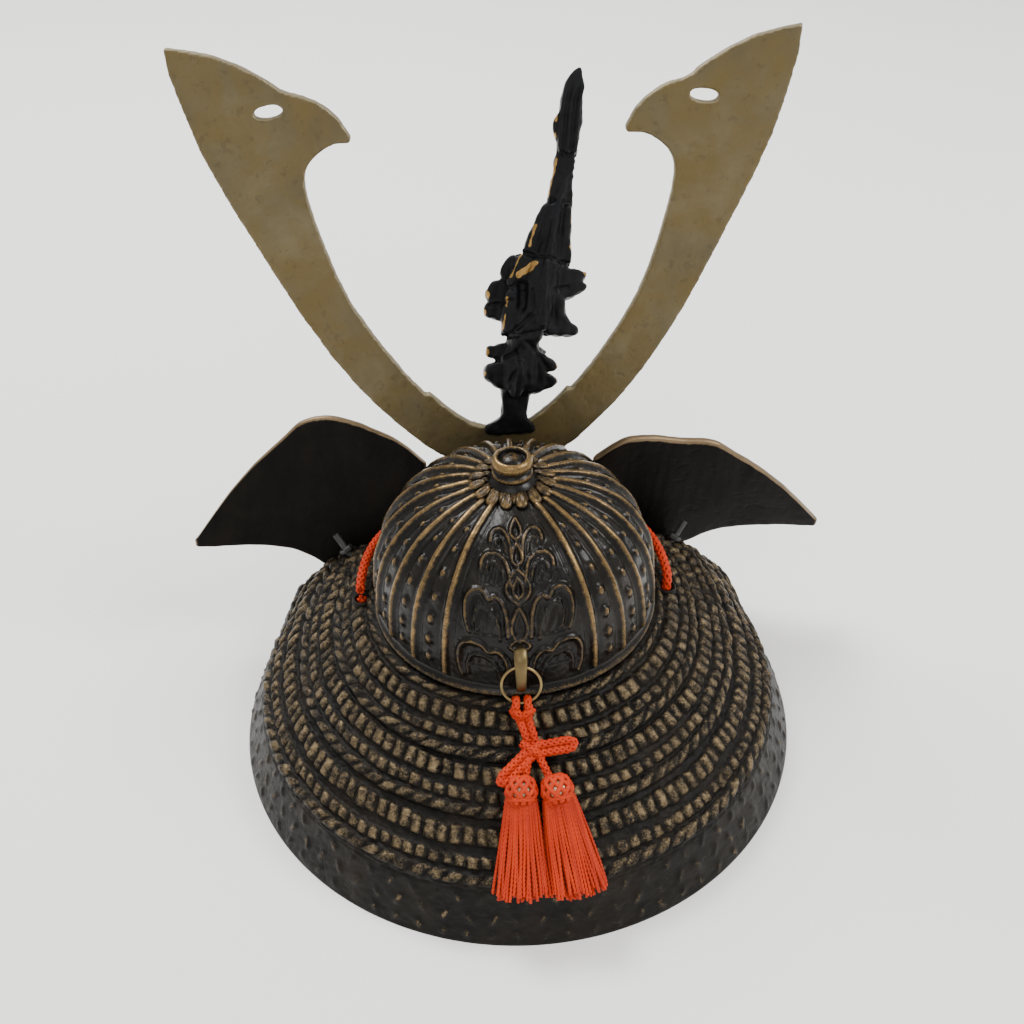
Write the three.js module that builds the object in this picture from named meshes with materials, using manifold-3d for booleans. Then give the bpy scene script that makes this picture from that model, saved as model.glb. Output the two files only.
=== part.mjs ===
// A display kabuto of cast brass, about half life size: ribbed bowl, flared neck guard, ear plates,
// tall horns and a dragon crest, with an orange chin cord and a pair of back tassels.
// Millimetres, +Z up, the front faces -Y. Angles round the helmet are degrees from the back.
import * as THREE from "three";
import { mergeVertices } from "three/addons/utils/BufferGeometryUtils.js";
import Module from "manifold-3d";

const wasm = await Module();
wasm.setup();

// Fits
const clearance = 0.3;
const overlap = 0.6;

// Neck guard: three laced lames over a steep hem, cast as one shell
const rimRadius = 95;
const foldRadius = 88;
const hemHeight = 16;
const seatHeight = 50;
const guardWall = 2.6;
const seatWidth = 4.5;
const lameRelief = 1.7;
const hemEndAngle = 117;
const topEndAngle = 128;
const frontLift = 9;
const hemLift = 7;
const liftStartAngle = 80;
const hemLiftStartAngle = 104;
const guardColumns = 40;

// Bowl: ribs run from the rim bead to the finial, a wide panel lies at the back
const bowlRadius = 45;
const bowlWall = 2.6;
const bowlSetForward = 3.5;
const bowlSkirt = 2;
const beadReach = 1.6;
const ribCount = 24;
const ribWidth = 2.6;
const ribHeight = 1.2;
const backPanelRibs = 4;
const crownHoleRadius = 5;
const leafHeight = 0.9;

// Finial: ring of petals with a collared knob, hollow at the top
const petalCount = 16;
const petalRingRadius = 13.6;
const petalThickness = 2.2;
const knobRadius = 6.3;
const knobHeight = 7;
const knobHollowRadius = 4.1;
const knobHollowDepth = 2.2;

// Visor: a crescent brim under the front of the bowl
const visorReach = 15;
const visorDrop = 9;
const visorWall = 2.4;
const visorColumns = 20;

// Horns: one plate, leaning forward, on a bracket that stands on the visor
const hornSpan = 93;
const hornRise = 137;
const hornThickness = 3;
const hornLean = 8.5;
const hornAskew = 0.5;
const hornAside = 2.5;
const hornFootHeight = 75.6;
const hornFootSetForward = 46.6;
const hornSlotLength = 9;
const hornSlotWidth = 3.6;
const bracketThickness = 3;
const bracketHalfWidth = 17;
const bracketRise = 5;
const bracketStandOff = 55.6;
const ledgeHalfWidth = 8;
const ledgeThickness = 2;
const bossRadius = 10;
const bossDrop = 9.6;
const bossHeight = 1.6;

// Crest: a dragon rising from a post that straddles the middle of the horn plate
const crestRise = 117;
const crestWidth = 33;
const crestLip = 2.2;
const crestLipDrop = 5.5;
const crestLipHalfWidth = 5;
const crestLipSet = 3;
const crestSeatRise = 0.098;

// Ear plates: turned outward in front of the guard, bolted under its ends
const earRoot = 29;
const earReach = 113;
const earFootLeft = 28;
const earFootRight = 22.5;
const earHeight = 62;
const earThickness = 3;
const earSetForward = 49.5;
const earCurl = 8;
const earCurlAcross = 50;
const earCurlMiddle = 63;
const earTiltLeft = 11;
const earTiltRight = -15;
const earPivotHeight = 55;
const flangeThickness = 2.4;
const flangeClearance = 0.7;
const flangeInner = 45;
const flangeOuter = 62;
const flangeBack = 29;
const boltAngle = 121;
const boltSeatShare = 0.5;
const boltRadius = 1;
const boltHoleRadius = 1.35;
const nutRadius = 2.4;
const nutHeight = 1.9;
const boltHeadHeight = 1.4;
const headClearance = 1.3;
const boltProud = 6;

// Back staple, ring and tassels
const stapleWidth = 4.6;
const stapleThickness = 1.6;
const stapleTopHeight = 16;
const stapleReach = 4.6;
const ringRadius = 5.9;
const ringWire = 0.45;
const ringLean = 20;
const ringDrop = 7.6;
const ringStandOff = 3.6;
const hangerRadius = 1.05;
const hangerSpacing = 1.45;
const knotDistance = 15.2;
const knotAside = -0.9;
const knotRadius = 2.6;
const loopLength = 12.5;
const loopProud = 4.4;
const headRadius = 4.3;
const headDistance = 27;
const headSpacing = 5.05;
const headAside = -2.1;
const tasselLength = 29;
const tasselEndWidth = 15.5;
const tasselThickness = 4.4;
const tasselSplay = 9;
const tasselLocks = 10;

// Chin cord: one loop over the visor, down through two holes and across the floor inside
const chinCordRadius = 1.6;
const cordHoleRadius = 2.3;
const cordHoleAngle = 92;
const cordHoleOut = 4.4;

const sin = (degrees) => Math.sin(THREE.MathUtils.degToRad(degrees));
const cos = (degrees) => Math.cos(THREE.MathUtils.degToRad(degrees));
const { clamp, lerp, smoothstep } = THREE.MathUtils;
const vec = (x, y, z) => new THREE.Vector3(x, y, z);

// Solids

function toSolid(geometry) {
  const plain = geometry.index ? geometry.toNonIndexed() : geometry.clone();
  for (const name of Object.keys(plain.attributes)) {
    if (name !== "position") plain.deleteAttribute(name);
  }
  const merged = mergeVertices(plain, 1e-4);
  const mesh = new wasm.Mesh({
    numProp: 3,
    vertProperties: new Float32Array(merged.attributes.position.array),
    triVerts: new Uint32Array(merged.index.array),
  });
  return new wasm.Manifold(mesh);
}

function toGeometry(solid) {
  const { vertProperties, triVerts } = solid.getMesh();
  const geometry = new THREE.BufferGeometry();
  geometry.setAttribute("position", new THREE.BufferAttribute(vertProperties, 3));
  geometry.setIndex(new THREE.BufferAttribute(triVerts, 1));
  const faceted = geometry.toNonIndexed();
  faceted.computeVertexNormals();
  return faceted;
}

const fuse = (solids) => solids.reduce((whole, solid) => whole.add(solid));

// Joins closed sections of equal point counts into one solid, with flat caps unless it is a ring.
function loft(sections, isRing = false) {
  const points = sections.flat();
  const around = sections[0].length;
  const faces = [];
  const last = isRing ? sections.length : sections.length - 1;
  for (let i = 0; i < last; i += 1) {
    const here = i * around;
    const next = ((i + 1) % sections.length) * around;
    for (let j = 0; j < around; j += 1) {
      const k = (j + 1) % around;
      faces.push([here + j, next + j, next + k], [here + j, next + k, here + k]);
    }
  }
  if (!isRing) {
    faces.push(...capFaces(sections[0], 0, true));
    faces.push(...capFaces(sections.at(-1), (sections.length - 1) * around, false));
  }
  const solidVolume = faces.reduce((sum, [a, b, c]) => (
    sum + points[a].dot(points[b].clone().cross(points[c]))
  ), 0);
  const positions = [];
  for (const [a, b, c] of faces) {
    const order = solidVolume > 0 ? [a, b, c] : [a, c, b];
    for (const index of order) positions.push(...points[index].toArray());
  }
  const geometry = new THREE.BufferGeometry();
  geometry.setAttribute("position", new THREE.Float32BufferAttribute(positions, 3));
  return toSolid(geometry);
}

// Triangles of a flat cap, turning the same way as the section's points or the other way.
function capFaces(section, offset, isForward) {
  const normal = vec(0, 0, 0);
  section.forEach((point, i) => {
    normal.add(point.clone().cross(section[(i + 1) % section.length]));
  });
  normal.normalize();
  const across = section[1].clone().sub(section[0]).normalize();
  const up = normal.clone().cross(across);
  const flat = section.map((point) => new THREE.Vector2(point.dot(across), point.dot(up)));
  return THREE.ShapeUtils.triangulateShape(flat, []).map(([a, b, c]) => {
    const turn = flat[b].clone().sub(flat[a]).cross(flat[c].clone().sub(flat[a]));
    const order = (turn > 0) === isForward ? [a, b, c] : [a, c, b];
    return order.map((index) => offset + index);
  });
}

function lathe(profile, segments) {
  const points = profile.map(([radius, height]) => new THREE.Vector2(radius, height));
  const geometry = new THREE.LatheGeometry(points, segments);
  geometry.rotateX(Math.PI / 2);
  return toSolid(geometry);
}

// A cylinder from one point to another, which may taper.
function rod(from, to, startRadius, endRadius = startRadius, sides = 8) {
  const axis = to.clone().sub(from);
  const geometry = new THREE.CylinderGeometry(endRadius, startRadius, axis.length(), sides);
  const turn = new THREE.Quaternion().setFromUnitVectors(vec(0, 1, 0), axis.clone().normalize());
  geometry.applyQuaternion(turn);
  geometry.translate(...from.clone().add(to).multiplyScalar(0.5).toArray());
  return toSolid(geometry);
}

function ball(centre, radii, segments = 8) {
  const geometry = new THREE.SphereGeometry(1, segments, Math.ceil(segments * 0.75));
  geometry.scale(...radii);
  geometry.translate(...centre.toArray());
  return toSolid(geometry);
}

function tubeAlong(curve, radius, steps, sides) {
  const outline = new THREE.Shape();
  for (let i = 0; i < sides; i += 1) {
    const angle = (360 * (i + 0.5)) / sides;
    const place = [radius * cos(angle), radius * sin(angle)];
    if (i === 0) outline.moveTo(...place);
    else outline.lineTo(...place);
  }
  outline.closePath();
  return new THREE.ExtrudeGeometry(outline, { steps, extrudePath: curve, curveSegments: 1 });
}

// Guard surface: share 0 is at the bowl and 1 at the fold above the hem.

const seatOuter = bowlRadius + beadReach + clearance;
const slopeTopBack = seatOuter - bowlSetForward;
const slopeAngle = THREE.MathUtils.radToDeg(
  Math.atan2(seatHeight - hemHeight, foldRadius - slopeTopBack),
);

function endAngleAt(share) {
  return lerp(topEndAngle, hemEndAngle, clamp(share, 0, 1) ** 2);
}

function liftAt(angle, share) {
  const turn = Math.abs(angle);
  const lamesLift = frontLift * smoothstep(turn, liftStartAngle, topEndAngle - 5);
  const rimLift = hemLift * smoothstep(turn, hemLiftStartAngle, hemEndAngle);
  const towardHem = smoothstep(share, 0.7, 1);
  return lerp(lamesLift * clamp(share * 1.8, 0, 1), rimLift, towardHem);
}

// The ring of a given radius at the back is centred under the bowl at the top, on the rim below.
function guardPoint(backRadius, height, angle, share) {
  const setForward = bowlSetForward * (1 - clamp(share, 0, 1));
  const radius = backRadius + setForward;
  return vec(radius * sin(angle), radius * cos(angle) - setForward, height + liftAt(angle, share));
}

function slopePoint(share, proud, angle) {
  const backRadius = lerp(slopeTopBack, foldRadius, share) + proud * sin(slopeAngle);
  const height = lerp(seatHeight, hemHeight, share) + proud * cos(slopeAngle);
  return guardPoint(backRadius, height, angle, share);
}

const lameShares = [0.31, 0.32, 0.37];
const lameRows = [
  { at: 0.04, proud: 0 },
  { at: 0.12, proud: 0.9 },
  { at: 0.36, proud: 0.9 },
  { at: 0.44, proud: 0 },
  { at: 0.56, proud: 0.75 },
  { at: 0.68, proud: 0 },
  { at: 0.84, proud: 1 },
];

function guardSection(along) {
  const angleAt = (share) => along * endAngleAt(share);
  const seatInnerBack = slopeTopBack - seatWidth;
  const section = [guardPoint(seatInnerBack, seatHeight, angleAt(0), 0)];
  let start = 0;
  for (const width of lameShares) {
    for (const { at, proud } of lameRows) {
      const share = start + width * at;
      section.push(slopePoint(share, proud * lameRelief, angleAt(share)));
    }
    start += width;
  }
  section.push(guardPoint(foldRadius, hemHeight, angleAt(1), 1));
  section.push(rimPoint(rimRadius, angleAt(1)));
  section.push(rimPoint(rimRadius - guardWall, angleAt(1)));
  for (const share of [1, 0.8, 0.6, 0.4, 0.2]) {
    section.push(slopePoint(share, -guardWall, angleAt(share)));
  }
  section.push(guardPoint(seatInnerBack, seatHeight - guardWall, angleAt(0), 0));
  return section;
}

// The rim lies on the table and rises at its two front ends.
function rimPoint(radius, angle) {
  return vec(radius * sin(angle), radius * cos(angle), liftAt(angle, 1));
}

function makeNeckGuard() {
  const sections = [];
  for (let i = 0; i <= guardColumns; i += 1) {
    sections.push(guardSection((2 * i) / guardColumns - 1));
  }
  const holes = [-1, 1].flatMap((side) => [
    rod(...cordHoleEnds(side), cordHoleRadius, cordHoleRadius, 10),
    rod(...boltEnds(side, guardWall * 2, guardWall * 2), boltHoleRadius, boltHoleRadius, 8),
  ]);
  return loft(sections).subtract(fuse(holes));
}

// Bolts: square to the guard near its front ends.

function boltFrame(side) {
  const seat = slopePoint(boltSeatShare, 0, side * boltAngle);
  const outward = vec(sin(side * boltAngle) * sin(slopeAngle), cos(boltAngle) * sin(slopeAngle),
    cos(slopeAngle));
  return { seat, outward };
}

function boltEnds(side, below, above) {
  const { seat, outward } = boltFrame(side);
  return [seat.clone().addScaledVector(outward, -below), seat.clone().addScaledVector(outward, above)];
}

function makeBolt(side) {
  const { seat, outward } = boltFrame(side);
  const at = (distance) => seat.clone().addScaledVector(outward, distance);
  const nutFoot = lameRelief + clearance;
  const headTop = -guardWall - flangeClearance - flangeThickness - headClearance;
  const shank = rod(at(headTop - overlap), at(nutFoot + nutHeight + boltProud), boltRadius,
    boltRadius, 6);
  const nut = rod(at(nutFoot), at(nutFoot + nutHeight), nutRadius, nutRadius, 6);
  const head = rod(at(headTop - boltHeadHeight), at(headTop), nutRadius, nutRadius, 6);
  return fuse([shank, nut, head]);
}

// Bowl

const bowlFloor = seatHeight + clearance;
const bowlCentreHeight = bowlFloor + bowlSkirt;
const ribPitch = 360 / ribCount;
const backPanelHalf = (backPanelRibs * ribPitch) / 2;
const crownHoleElevation = THREE.MathUtils.radToDeg(Math.acos(crownHoleRadius / bowlRadius));
const ribTopElevation = crownHoleElevation - 12;

// A point at an angle round the bowl, an elevation up its sphere and a height above its skin.
function bowlPoint(angle, elevation, proud) {
  const radius = bowlRadius + proud;
  const across = radius * cos(elevation);
  return vec(across * sin(angle), across * cos(angle) - bowlSetForward,
    bowlCentreHeight + radius * sin(elevation));
}

function ribColumns() {
  const columns = [];
  for (let i = 0; i < ribCount; i += 1) {
    const angle = 180 + i * ribPitch;
    const fromBack = Math.min(angle % 360, 360 - (angle % 360));
    const isRib = fromBack > backPanelHalf - 1;
    columns.push({ angle, side: -1, isRib }, { angle, side: 0, isRib }, { angle, side: 1, isRib });
  }
  return columns;
}

function bowlRing(elevation, ribProud) {
  const reach = Math.max(bowlRadius * cos(elevation), 1);
  const halfAngle = Math.min(THREE.MathUtils.radToDeg(ribWidth / 2 / reach), ribPitch * 0.32);
  return ribColumns().map(({ angle, side, isRib }) => (
    bowlPoint(angle + side * halfAngle, elevation, side === 0 && isRib ? ribProud : 0)
  ));
}

function ringAt(radius, height) {
  return ribColumns().map(({ angle, side }) => {
    const turn = angle + (side * ribPitch) / 3;
    return vec(radius * sin(turn), radius * cos(turn) - bowlSetForward, height);
  });
}

function makeBowl() {
  const bead = bowlRadius + beadReach;
  const rings = [ringAt(bead, bowlFloor), ringAt(bead, bowlFloor + bowlSkirt * 0.8)];
  const steps = 6;
  for (let i = 0; i <= steps; i += 1) {
    rings.push(bowlRing(lerp(1.5, ribTopElevation, i / steps), ribHeight));
  }
  rings.push(bowlRing(ribTopElevation + 4, 0), bowlRing(crownHoleElevation + 3, 0));
  const hollow = [[0, bowlFloor - overlap], [bowlRadius - bowlWall, bowlFloor - overlap]];
  const hollowSteps = 5;
  for (let i = 0; i <= hollowSteps; i += 1) {
    const elevation = (90 * i) / hollowSteps;
    const radius = bowlRadius - bowlWall;
    const across = i === hollowSteps ? 0 : radius * cos(elevation);
    hollow.push([across, bowlCentreHeight + radius * sin(elevation)]);
  }
  const hollowSolid = lathe(hollow, 32).translate([0, -bowlSetForward, 0]);
  const top = bowlCentreHeight + bowlRadius;
  const hole = rod(vec(0, -bowlSetForward, top - bowlWall * 3), vec(0, -bowlSetForward, top + 2),
    crownHoleRadius, crownHoleRadius, 16);
  return fuse([loft(rings), ...bowlLeaves()]).subtract(hollowSolid).subtract(hole);
}

// A raised pyramid on the bowl's skin, turned by some degrees from upright.
function bowlRelief(angle, elevation, turn, halfWidth, halfLength, height) {
  const geometry = new THREE.OctahedronGeometry(1);
  geometry.scale(halfWidth, halfLength, height);
  geometry.rotateZ(THREE.MathUtils.degToRad(turn));
  const outward = bowlPoint(angle, elevation, 1).sub(bowlPoint(angle, elevation, 0)).normalize();
  const across = vec(-cos(angle), sin(angle), 0);
  const up = outward.clone().cross(across);
  const frame = new THREE.Matrix4().makeBasis(across, up, outward);
  geometry.applyMatrix4(frame.setPosition(bowlPoint(angle, elevation, 0)));
  return toSolid(geometry);
}

// Acanthus relief on the back panel: buds up the stem, and a pair of leaves for each tier.
// Places are shares of the panel's half angle and degrees of elevation, sizes are millimetres.
const stemBuds = [
  { elevation: 27, halfWidth: 2, halfLength: 4 },
  { elevation: 39, halfWidth: 2.4, halfLength: 3.6 },
  { elevation: 50, halfWidth: 1.8, halfLength: 4 },
  { elevation: 60, halfWidth: 1.4, halfLength: 3.4 },
];
const leafTiers = [
  { elevation: 13, aside: 0.5, turn: 58, halfWidth: 3.6, halfLength: 6.5 },
  { elevation: 30, aside: 0.48, turn: 38, halfWidth: 3.8, halfLength: 6.2 },
  { elevation: 44, aside: 0.42, turn: 34, halfWidth: 3.2, halfLength: 4.8 },
  { elevation: 56, aside: 0.4, turn: 28, halfWidth: 2.2, halfLength: 3.6 },
];

function bowlLeaves() {
  const buds = stemBuds.map(({ elevation, halfWidth, halfLength }) => (
    bowlRelief(0, elevation, 0, halfWidth, halfLength, leafHeight * 1.2)
  ));
  const leaves = [-1, 1].flatMap((side) => leafTiers.map((leaf) => (
    bowlRelief(side * leaf.aside * backPanelHalf, leaf.elevation, side * leaf.turn,
      leaf.halfWidth, leaf.halfLength, leafHeight * 1.4)
  )));
  return [...buds, ...leaves];
}

// Finial

function makeFinial() {
  const centre = bowlCentreHeight;
  const skinAt = (radius, proud) => (
    centre + Math.sqrt((bowlRadius + proud + clearance) ** 2 - radius ** 2)
  );
  const stemRadius = crownHoleRadius - clearance;
  const innerRadius = stemRadius - overlap;
  const ribEndRadius = bowlRadius * cos(ribTopElevation + 4) - 0.5;
  const crown = skinAt(ribEndRadius, ribHeight) + petalThickness;
  const profile = (puff, reach) => [
    [innerRadius, skinAt(innerRadius, 0)],
    [ribEndRadius - 0.6, skinAt(ribEndRadius - 0.6, 0)],
    [ribEndRadius, skinAt(ribEndRadius, ribHeight)],
    [reach, skinAt(reach, ribHeight)],
    [reach + 0.4, skinAt(reach, ribHeight) + petalThickness * 0.5],
    [reach * 0.93, lerp(skinAt(reach, ribHeight), crown, 0.55 + 0.35 * puff)],
    [ribEndRadius * 0.9, crown + puff * 0.3],
    [innerRadius, crown + 0.2],
  ];
  const sections = [];
  for (let i = 0; i < petalCount * 2; i += 1) {
    const isCrest = i % 2;
    const angle = (i * 180) / petalCount;
    const reach = petalRingRadius * (isCrest ? 1 : 0.9);
    sections.push(profile(isCrest, reach).map(([radius, height]) => (
      vec(radius * sin(angle), radius * cos(angle), height)
    )));
  }
  const stemFoot = centre + bowlRadius - bowlWall * 2;
  const lip = crown + knobHeight;
  const knob = lathe([
    [0, stemFoot],
    [stemRadius, stemFoot],
    [stemRadius, crown],
    [knobRadius, crown + knobHeight * 0.1],
    [knobRadius, crown + knobHeight * 0.26],
    [knobRadius * 0.8, crown + knobHeight * 0.42],
    [knobRadius, crown + knobHeight * 0.62],
    [knobRadius, crown + knobHeight * 0.84],
    [knobRadius * 0.84, lip],
    [knobHollowRadius, lip - 0.3],
    [knobHollowRadius * 0.9, lip - knobHollowDepth],
    [0, lip - knobHollowDepth * 0.7],
  ], 12);
  return fuse([loft(sections, true), knob]).translate([0, -bowlSetForward, 0]);
}

// Visor: its back edge is a seat under the bowl, as the guard's is on the other side.

function visorSection(along) {
  const gapAngle = THREE.MathUtils.radToDeg(clearance / bowlRadius);
  const angle = 180 + along * (180 - topEndAngle - gapAngle);
  const crescent = 1 - Math.abs(along) ** 2.4;
  const reach = seatOuter + 1 + (visorReach - 1) * crescent;
  const drop = visorDrop * crescent;
  const seatInner = seatOuter - seatWidth;
  const lipThickness = visorWall * 0.8;
  return [
    [seatInner, seatHeight],
    [bracketStandOff - bowlSetForward + bracketThickness + 1, seatHeight],
    [lerp(seatOuter, reach, 0.85) + 1, seatHeight - drop * 0.75],
    [reach + 1.2, seatHeight - drop + lipThickness * 0.3],
    [reach + 1.2, seatHeight - drop - lipThickness],
    [lerp(seatOuter, reach, 0.85), seatHeight - drop * 0.75 - visorWall],
    [seatOuter, seatHeight - visorWall],
    [seatInner, seatHeight - visorWall],
  ].map(([radius, height], i) => {
    const capped = i === 1 || i === 2 ? Math.min(radius, reach + 1) : radius;
    return vec(capped * sin(angle), capped * cos(angle) - bowlSetForward, height);
  });
}

function makeVisor() {
  const sections = [];
  for (let i = 0; i <= visorColumns; i += 1) {
    sections.push(visorSection((2 * i) / visorColumns - 1));
  }
  return loft(sections);
}

// Horn plate, in its own plane: x across, y up the plate, z toward the front.
// Each row is a share of the half span and of the rise, from the middle of the plate to its foot.

const hornInner = [
  { across: 0, up: 0.08 },
  { across: 0.09, up: 0.088 },
  { across: 0.19, up: 0.138 },
  { across: 0.25, up: 0.181 },
];
const hornThroat = [
  { across: 0.266, up: 0.178 },
  { across: 0.362, up: 0.262 },
  { across: 0.505, up: 0.424 },
  { across: 0.588, up: 0.603 },
  { across: 0.612, up: 0.7 },
  { across: 0.59, up: 0.748 },
  { across: 0.52, up: 0.784 },
  { across: 0.452, up: 0.789 },
];
const hornTop = [
  { across: 0.446, up: 0.8 },
  { across: 0.484, up: 0.846 },
  { across: 0.56, up: 0.885 },
  { across: 0.645, up: 0.902 },
  { across: 0.7, up: 0.93 },
  { across: 0.84, up: 0.978 },
  { across: 1, up: 1 },
];
const hornOuter = [
  { across: 0.994, up: 0.94 },
  { across: 0.925, up: 0.762 },
  { across: 0.787, up: 0.55 },
  { across: 0.634, up: 0.34 },
  { across: 0.474, up: 0.175 },
  { across: 0.286, up: 0.04 },
  { across: 0.2, up: 0 },
];

function smoothRow(row, samples) {
  const points = row.map(({ across, up }) => new THREE.Vector2(across * hornSpan, up * hornRise));
  return new THREE.SplineCurve(points).getPoints(samples);
}

function hornOutline() {
  const half = [
    ...smoothRow(hornInner, 5),
    ...smoothRow(hornThroat, 18),
    ...smoothRow(hornTop, 13),
    ...smoothRow(hornOuter, 13),
  ];
  const mirrored = half.slice(1).reverse().map((point) => new THREE.Vector2(-point.x, point.y));
  return new THREE.Shape([...half, ...mirrored]);
}

function hornSlot(side) {
  const slot = new THREE.Path();
  const centre = new THREE.Vector2(side * hornSpan * 0.7, hornRise * 0.862);
  const length = hornSlotLength / 2;
  slot.absellipse(centre.x, centre.y, length, hornSlotWidth / 2, 0, Math.PI * 2, false,
    -side * THREE.MathUtils.degToRad(8));
  return new THREE.Path(slot.getPoints(10).slice(0, -1));
}

function makeHorns() {
  const outline = hornOutline();
  outline.holes.push(hornSlot(-1), hornSlot(1));
  const geometry = new THREE.ExtrudeGeometry(outline, {
    depth: hornThickness, bevelEnabled: false, curveSegments: 1,
  });
  return toSolid(geometry);
}

// Bracket: stands on the visor, lies against the front of the horn plate and carries its foot.

function makeBracket() {
  const footHeight = seatHeight + clearance;
  const tan = sin(hornLean) / cos(hornLean);
  const frontOfHorns = (height) => (
    hornFootSetForward + hornThickness / cos(hornLean) + clearance + (height - hornFootHeight) * tan
  );
  const rows = [
    { height: footHeight, setForward: bracketStandOff, width: 0.8 },
    { height: lerp(footHeight, hornFootHeight, 0.3), setForward: bracketStandOff, width: 0.72 },
    {
      height: hornFootHeight - 4,
      setForward: frontOfHorns(hornFootHeight),
      width: 0.9,
    },
    {
      height: hornFootHeight + bracketRise,
      setForward: frontOfHorns(hornFootHeight + bracketRise),
      width: 1,
    },
  ];
  const sections = rows.map(({ height, setForward, width }) => {
    const half = bracketHalfWidth * width;
    return [
      vec(-half, -setForward, height),
      vec(half, -setForward, height),
      vec(half, -setForward - bracketThickness, height),
      vec(-half, -setForward - bracketThickness, height),
    ];
  });
  const ledgeTop = hornFootHeight - clearance - hornThickness * sin(hornLean)
    - (ledgeHalfWidth + hornAside) * sin(hornAskew);
  const ledgeBack = hornFootSetForward + clearance;
  const ledgeFront = frontOfHorns(hornFootHeight) + overlap;
  const ledge = new THREE.BoxGeometry(ledgeHalfWidth * 2, ledgeFront - ledgeBack, ledgeThickness);
  ledge.translate(0, -(ledgeFront + ledgeBack) / 2, ledgeTop - ledgeThickness / 2);
  const bossAt = hornFootHeight - bossDrop;
  const bossBack = lerp(bracketStandOff, frontOfHorns(hornFootHeight), 0.55);
  const boss = rod(vec(0, -bossBack, bossAt),
    vec(0, -bossBack - bracketThickness - bossHeight, bossAt), bossRadius, bossRadius * 0.8, 16);
  return fuse([loft(sections), toSolid(ledge), boss]);
}

// Dragon crest, in the horn plate's frame. Rows go up the crest: shares of its width and rise
// for the middle and half width, and the depth of the body toward the front in millimetres.

const dragonBody = [
  { across: 0.03, up: 0, half: 0.27, depth: 4 },
  { across: 0.06, up: 0.03, half: 0.2, depth: 4 },
  { across: 0.09, up: 0.07, half: 0.135, depth: 4 },
  { across: 0.1, up: 0.12, half: 0.15, depth: 4.4 },
  { across: 0.15, up: 0.18, half: 0.33, depth: 8 },
  { across: 0.17, up: 0.23, half: 0.34, depth: 9 },
  { across: 0.17, up: 0.285, half: 0.25, depth: 8 },
  { across: 0.22, up: 0.36, half: 0.32, depth: 9 },
  { across: 0.33, up: 0.47, half: 0.33, depth: 8 },
  { across: 0.42, up: 0.54, half: 0.28, depth: 6.5 },
  { across: 0.52, up: 0.64, half: 0.16, depth: 5 },
  { across: 0.61, up: 0.75, half: 0.1, depth: 3.6 },
  { across: 0.66, up: 0.84, half: 0.14, depth: 3.2 },
  { across: 0.7, up: 0.9, half: 0.12, depth: 2.6 },
  { across: 0.75, up: 0.96, half: 0.07, depth: 1.8 },
  { across: 0.77, up: 1, half: 0.02, depth: 0.6 },
];
// Legs, mane spikes and horns: root and tip as shares, out toward the front in millimetres
const dragonSpikes = [
  { root: [0.3, 0.21, 2], tip: [0.53, 0.155, 1], thick: 4.4, end: 0.8 },
  { root: [0.3, 0.24, 2], tip: [0.54, 0.2, 2], thick: 4, end: 0.8 },
  { root: [0.05, 0.22, 2], tip: [-0.23, 0.19, 2], thick: 4.6, end: 1.4 },
  { root: [0.08, 0.27, 2], tip: [-0.19, 0.27, 2], thick: 3, end: 1.2 },
  { root: [0.3, 0.34, 3], tip: [0.74, 0.29, 2], thick: 5.4, end: 1 },
  { root: [0.4, 0.47, 3], tip: [0.83, 0.44, 3], thick: 5.6, end: 1.2 },
  { root: [0.14, 0.4, 3], tip: [-0.19, 0.36, 5], thick: 4, end: 1.6 },
  { root: [0.16, 0.44, 3], tip: [-0.15, 0.42, 6], thick: 3.4, end: 1.4 },
];
// Head: skull, snout and jaw boxes from the neck toward the front
const dragonHead = [
  { from: [0.18, 0.34, 6], to: [0.14, 0.37, 17], thick: 6, end: 5.4 },
  { from: [0.14, 0.375, 16], to: [0.1, 0.35, 27], thick: 5.2, end: 3 },
  { from: [0.14, 0.34, 16], to: [0.1, 0.305, 24], thick: 3.6, end: 1.8 },
  { from: [0.21, 0.39, 15], to: [0.33, 0.5, 10], thick: 1.7, end: 0.6 },
  { from: [0.08, 0.39, 15], to: [-0.02, 0.5, 10], thick: 1.7, end: 0.6 },
];

function makeCrest() {
  const base = hornRise * hornInner[0].up + clearance;
  const middle = hornThickness / 2;
  const place = (across, up, out) => vec(-across * crestWidth, base + up * crestRise, middle + out);
  const sides = 10;
  const sections = dragonBody.map(({ across, up, half, depth }) => {
    const ring = [];
    for (let i = 0; i < sides; i += 1) {
      const angle = (360 * i) / sides;
      ring.push(place(across, up, 0).add(vec(half * crestWidth * cos(angle), 0, depth * sin(angle))));
    }
    return ring;
  });
  const spikes = dragonSpikes.map(({ root, tip, thick, end }) => (
    rod(place(...root), place(...tip), thick, end, 6)
  ));
  const head = dragonHead.map(({ from, to, thick, end }) => (
    rod(place(...from), place(...to), thick, end, 6)
  ));
  const lips = [-1, 1].map((face) => {
    const lip = new THREE.BoxGeometry(crestLipHalfWidth * 2, crestLipDrop, crestLip);
    const out = middle + face * (hornThickness / 2 + clearance + crestLip / 2);
    lip.translate(0, base - crestLipDrop / 2 + crestLipSet, out);
    return toSolid(lip);
  });
  const slotTop = hornRise * crestSeatRise + clearance;
  const slot = new THREE.BoxGeometry(crestWidth, slotTop, hornThickness + 2 * clearance);
  slot.translate(0, slotTop / 2, middle);
  return fuse([loft(sections), ...spikes, ...head, ...lips]).subtract(toSolid(slot));
}

// Ear plates: columns go outward as shares of the plate's reach, heights as shares of its height.

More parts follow.
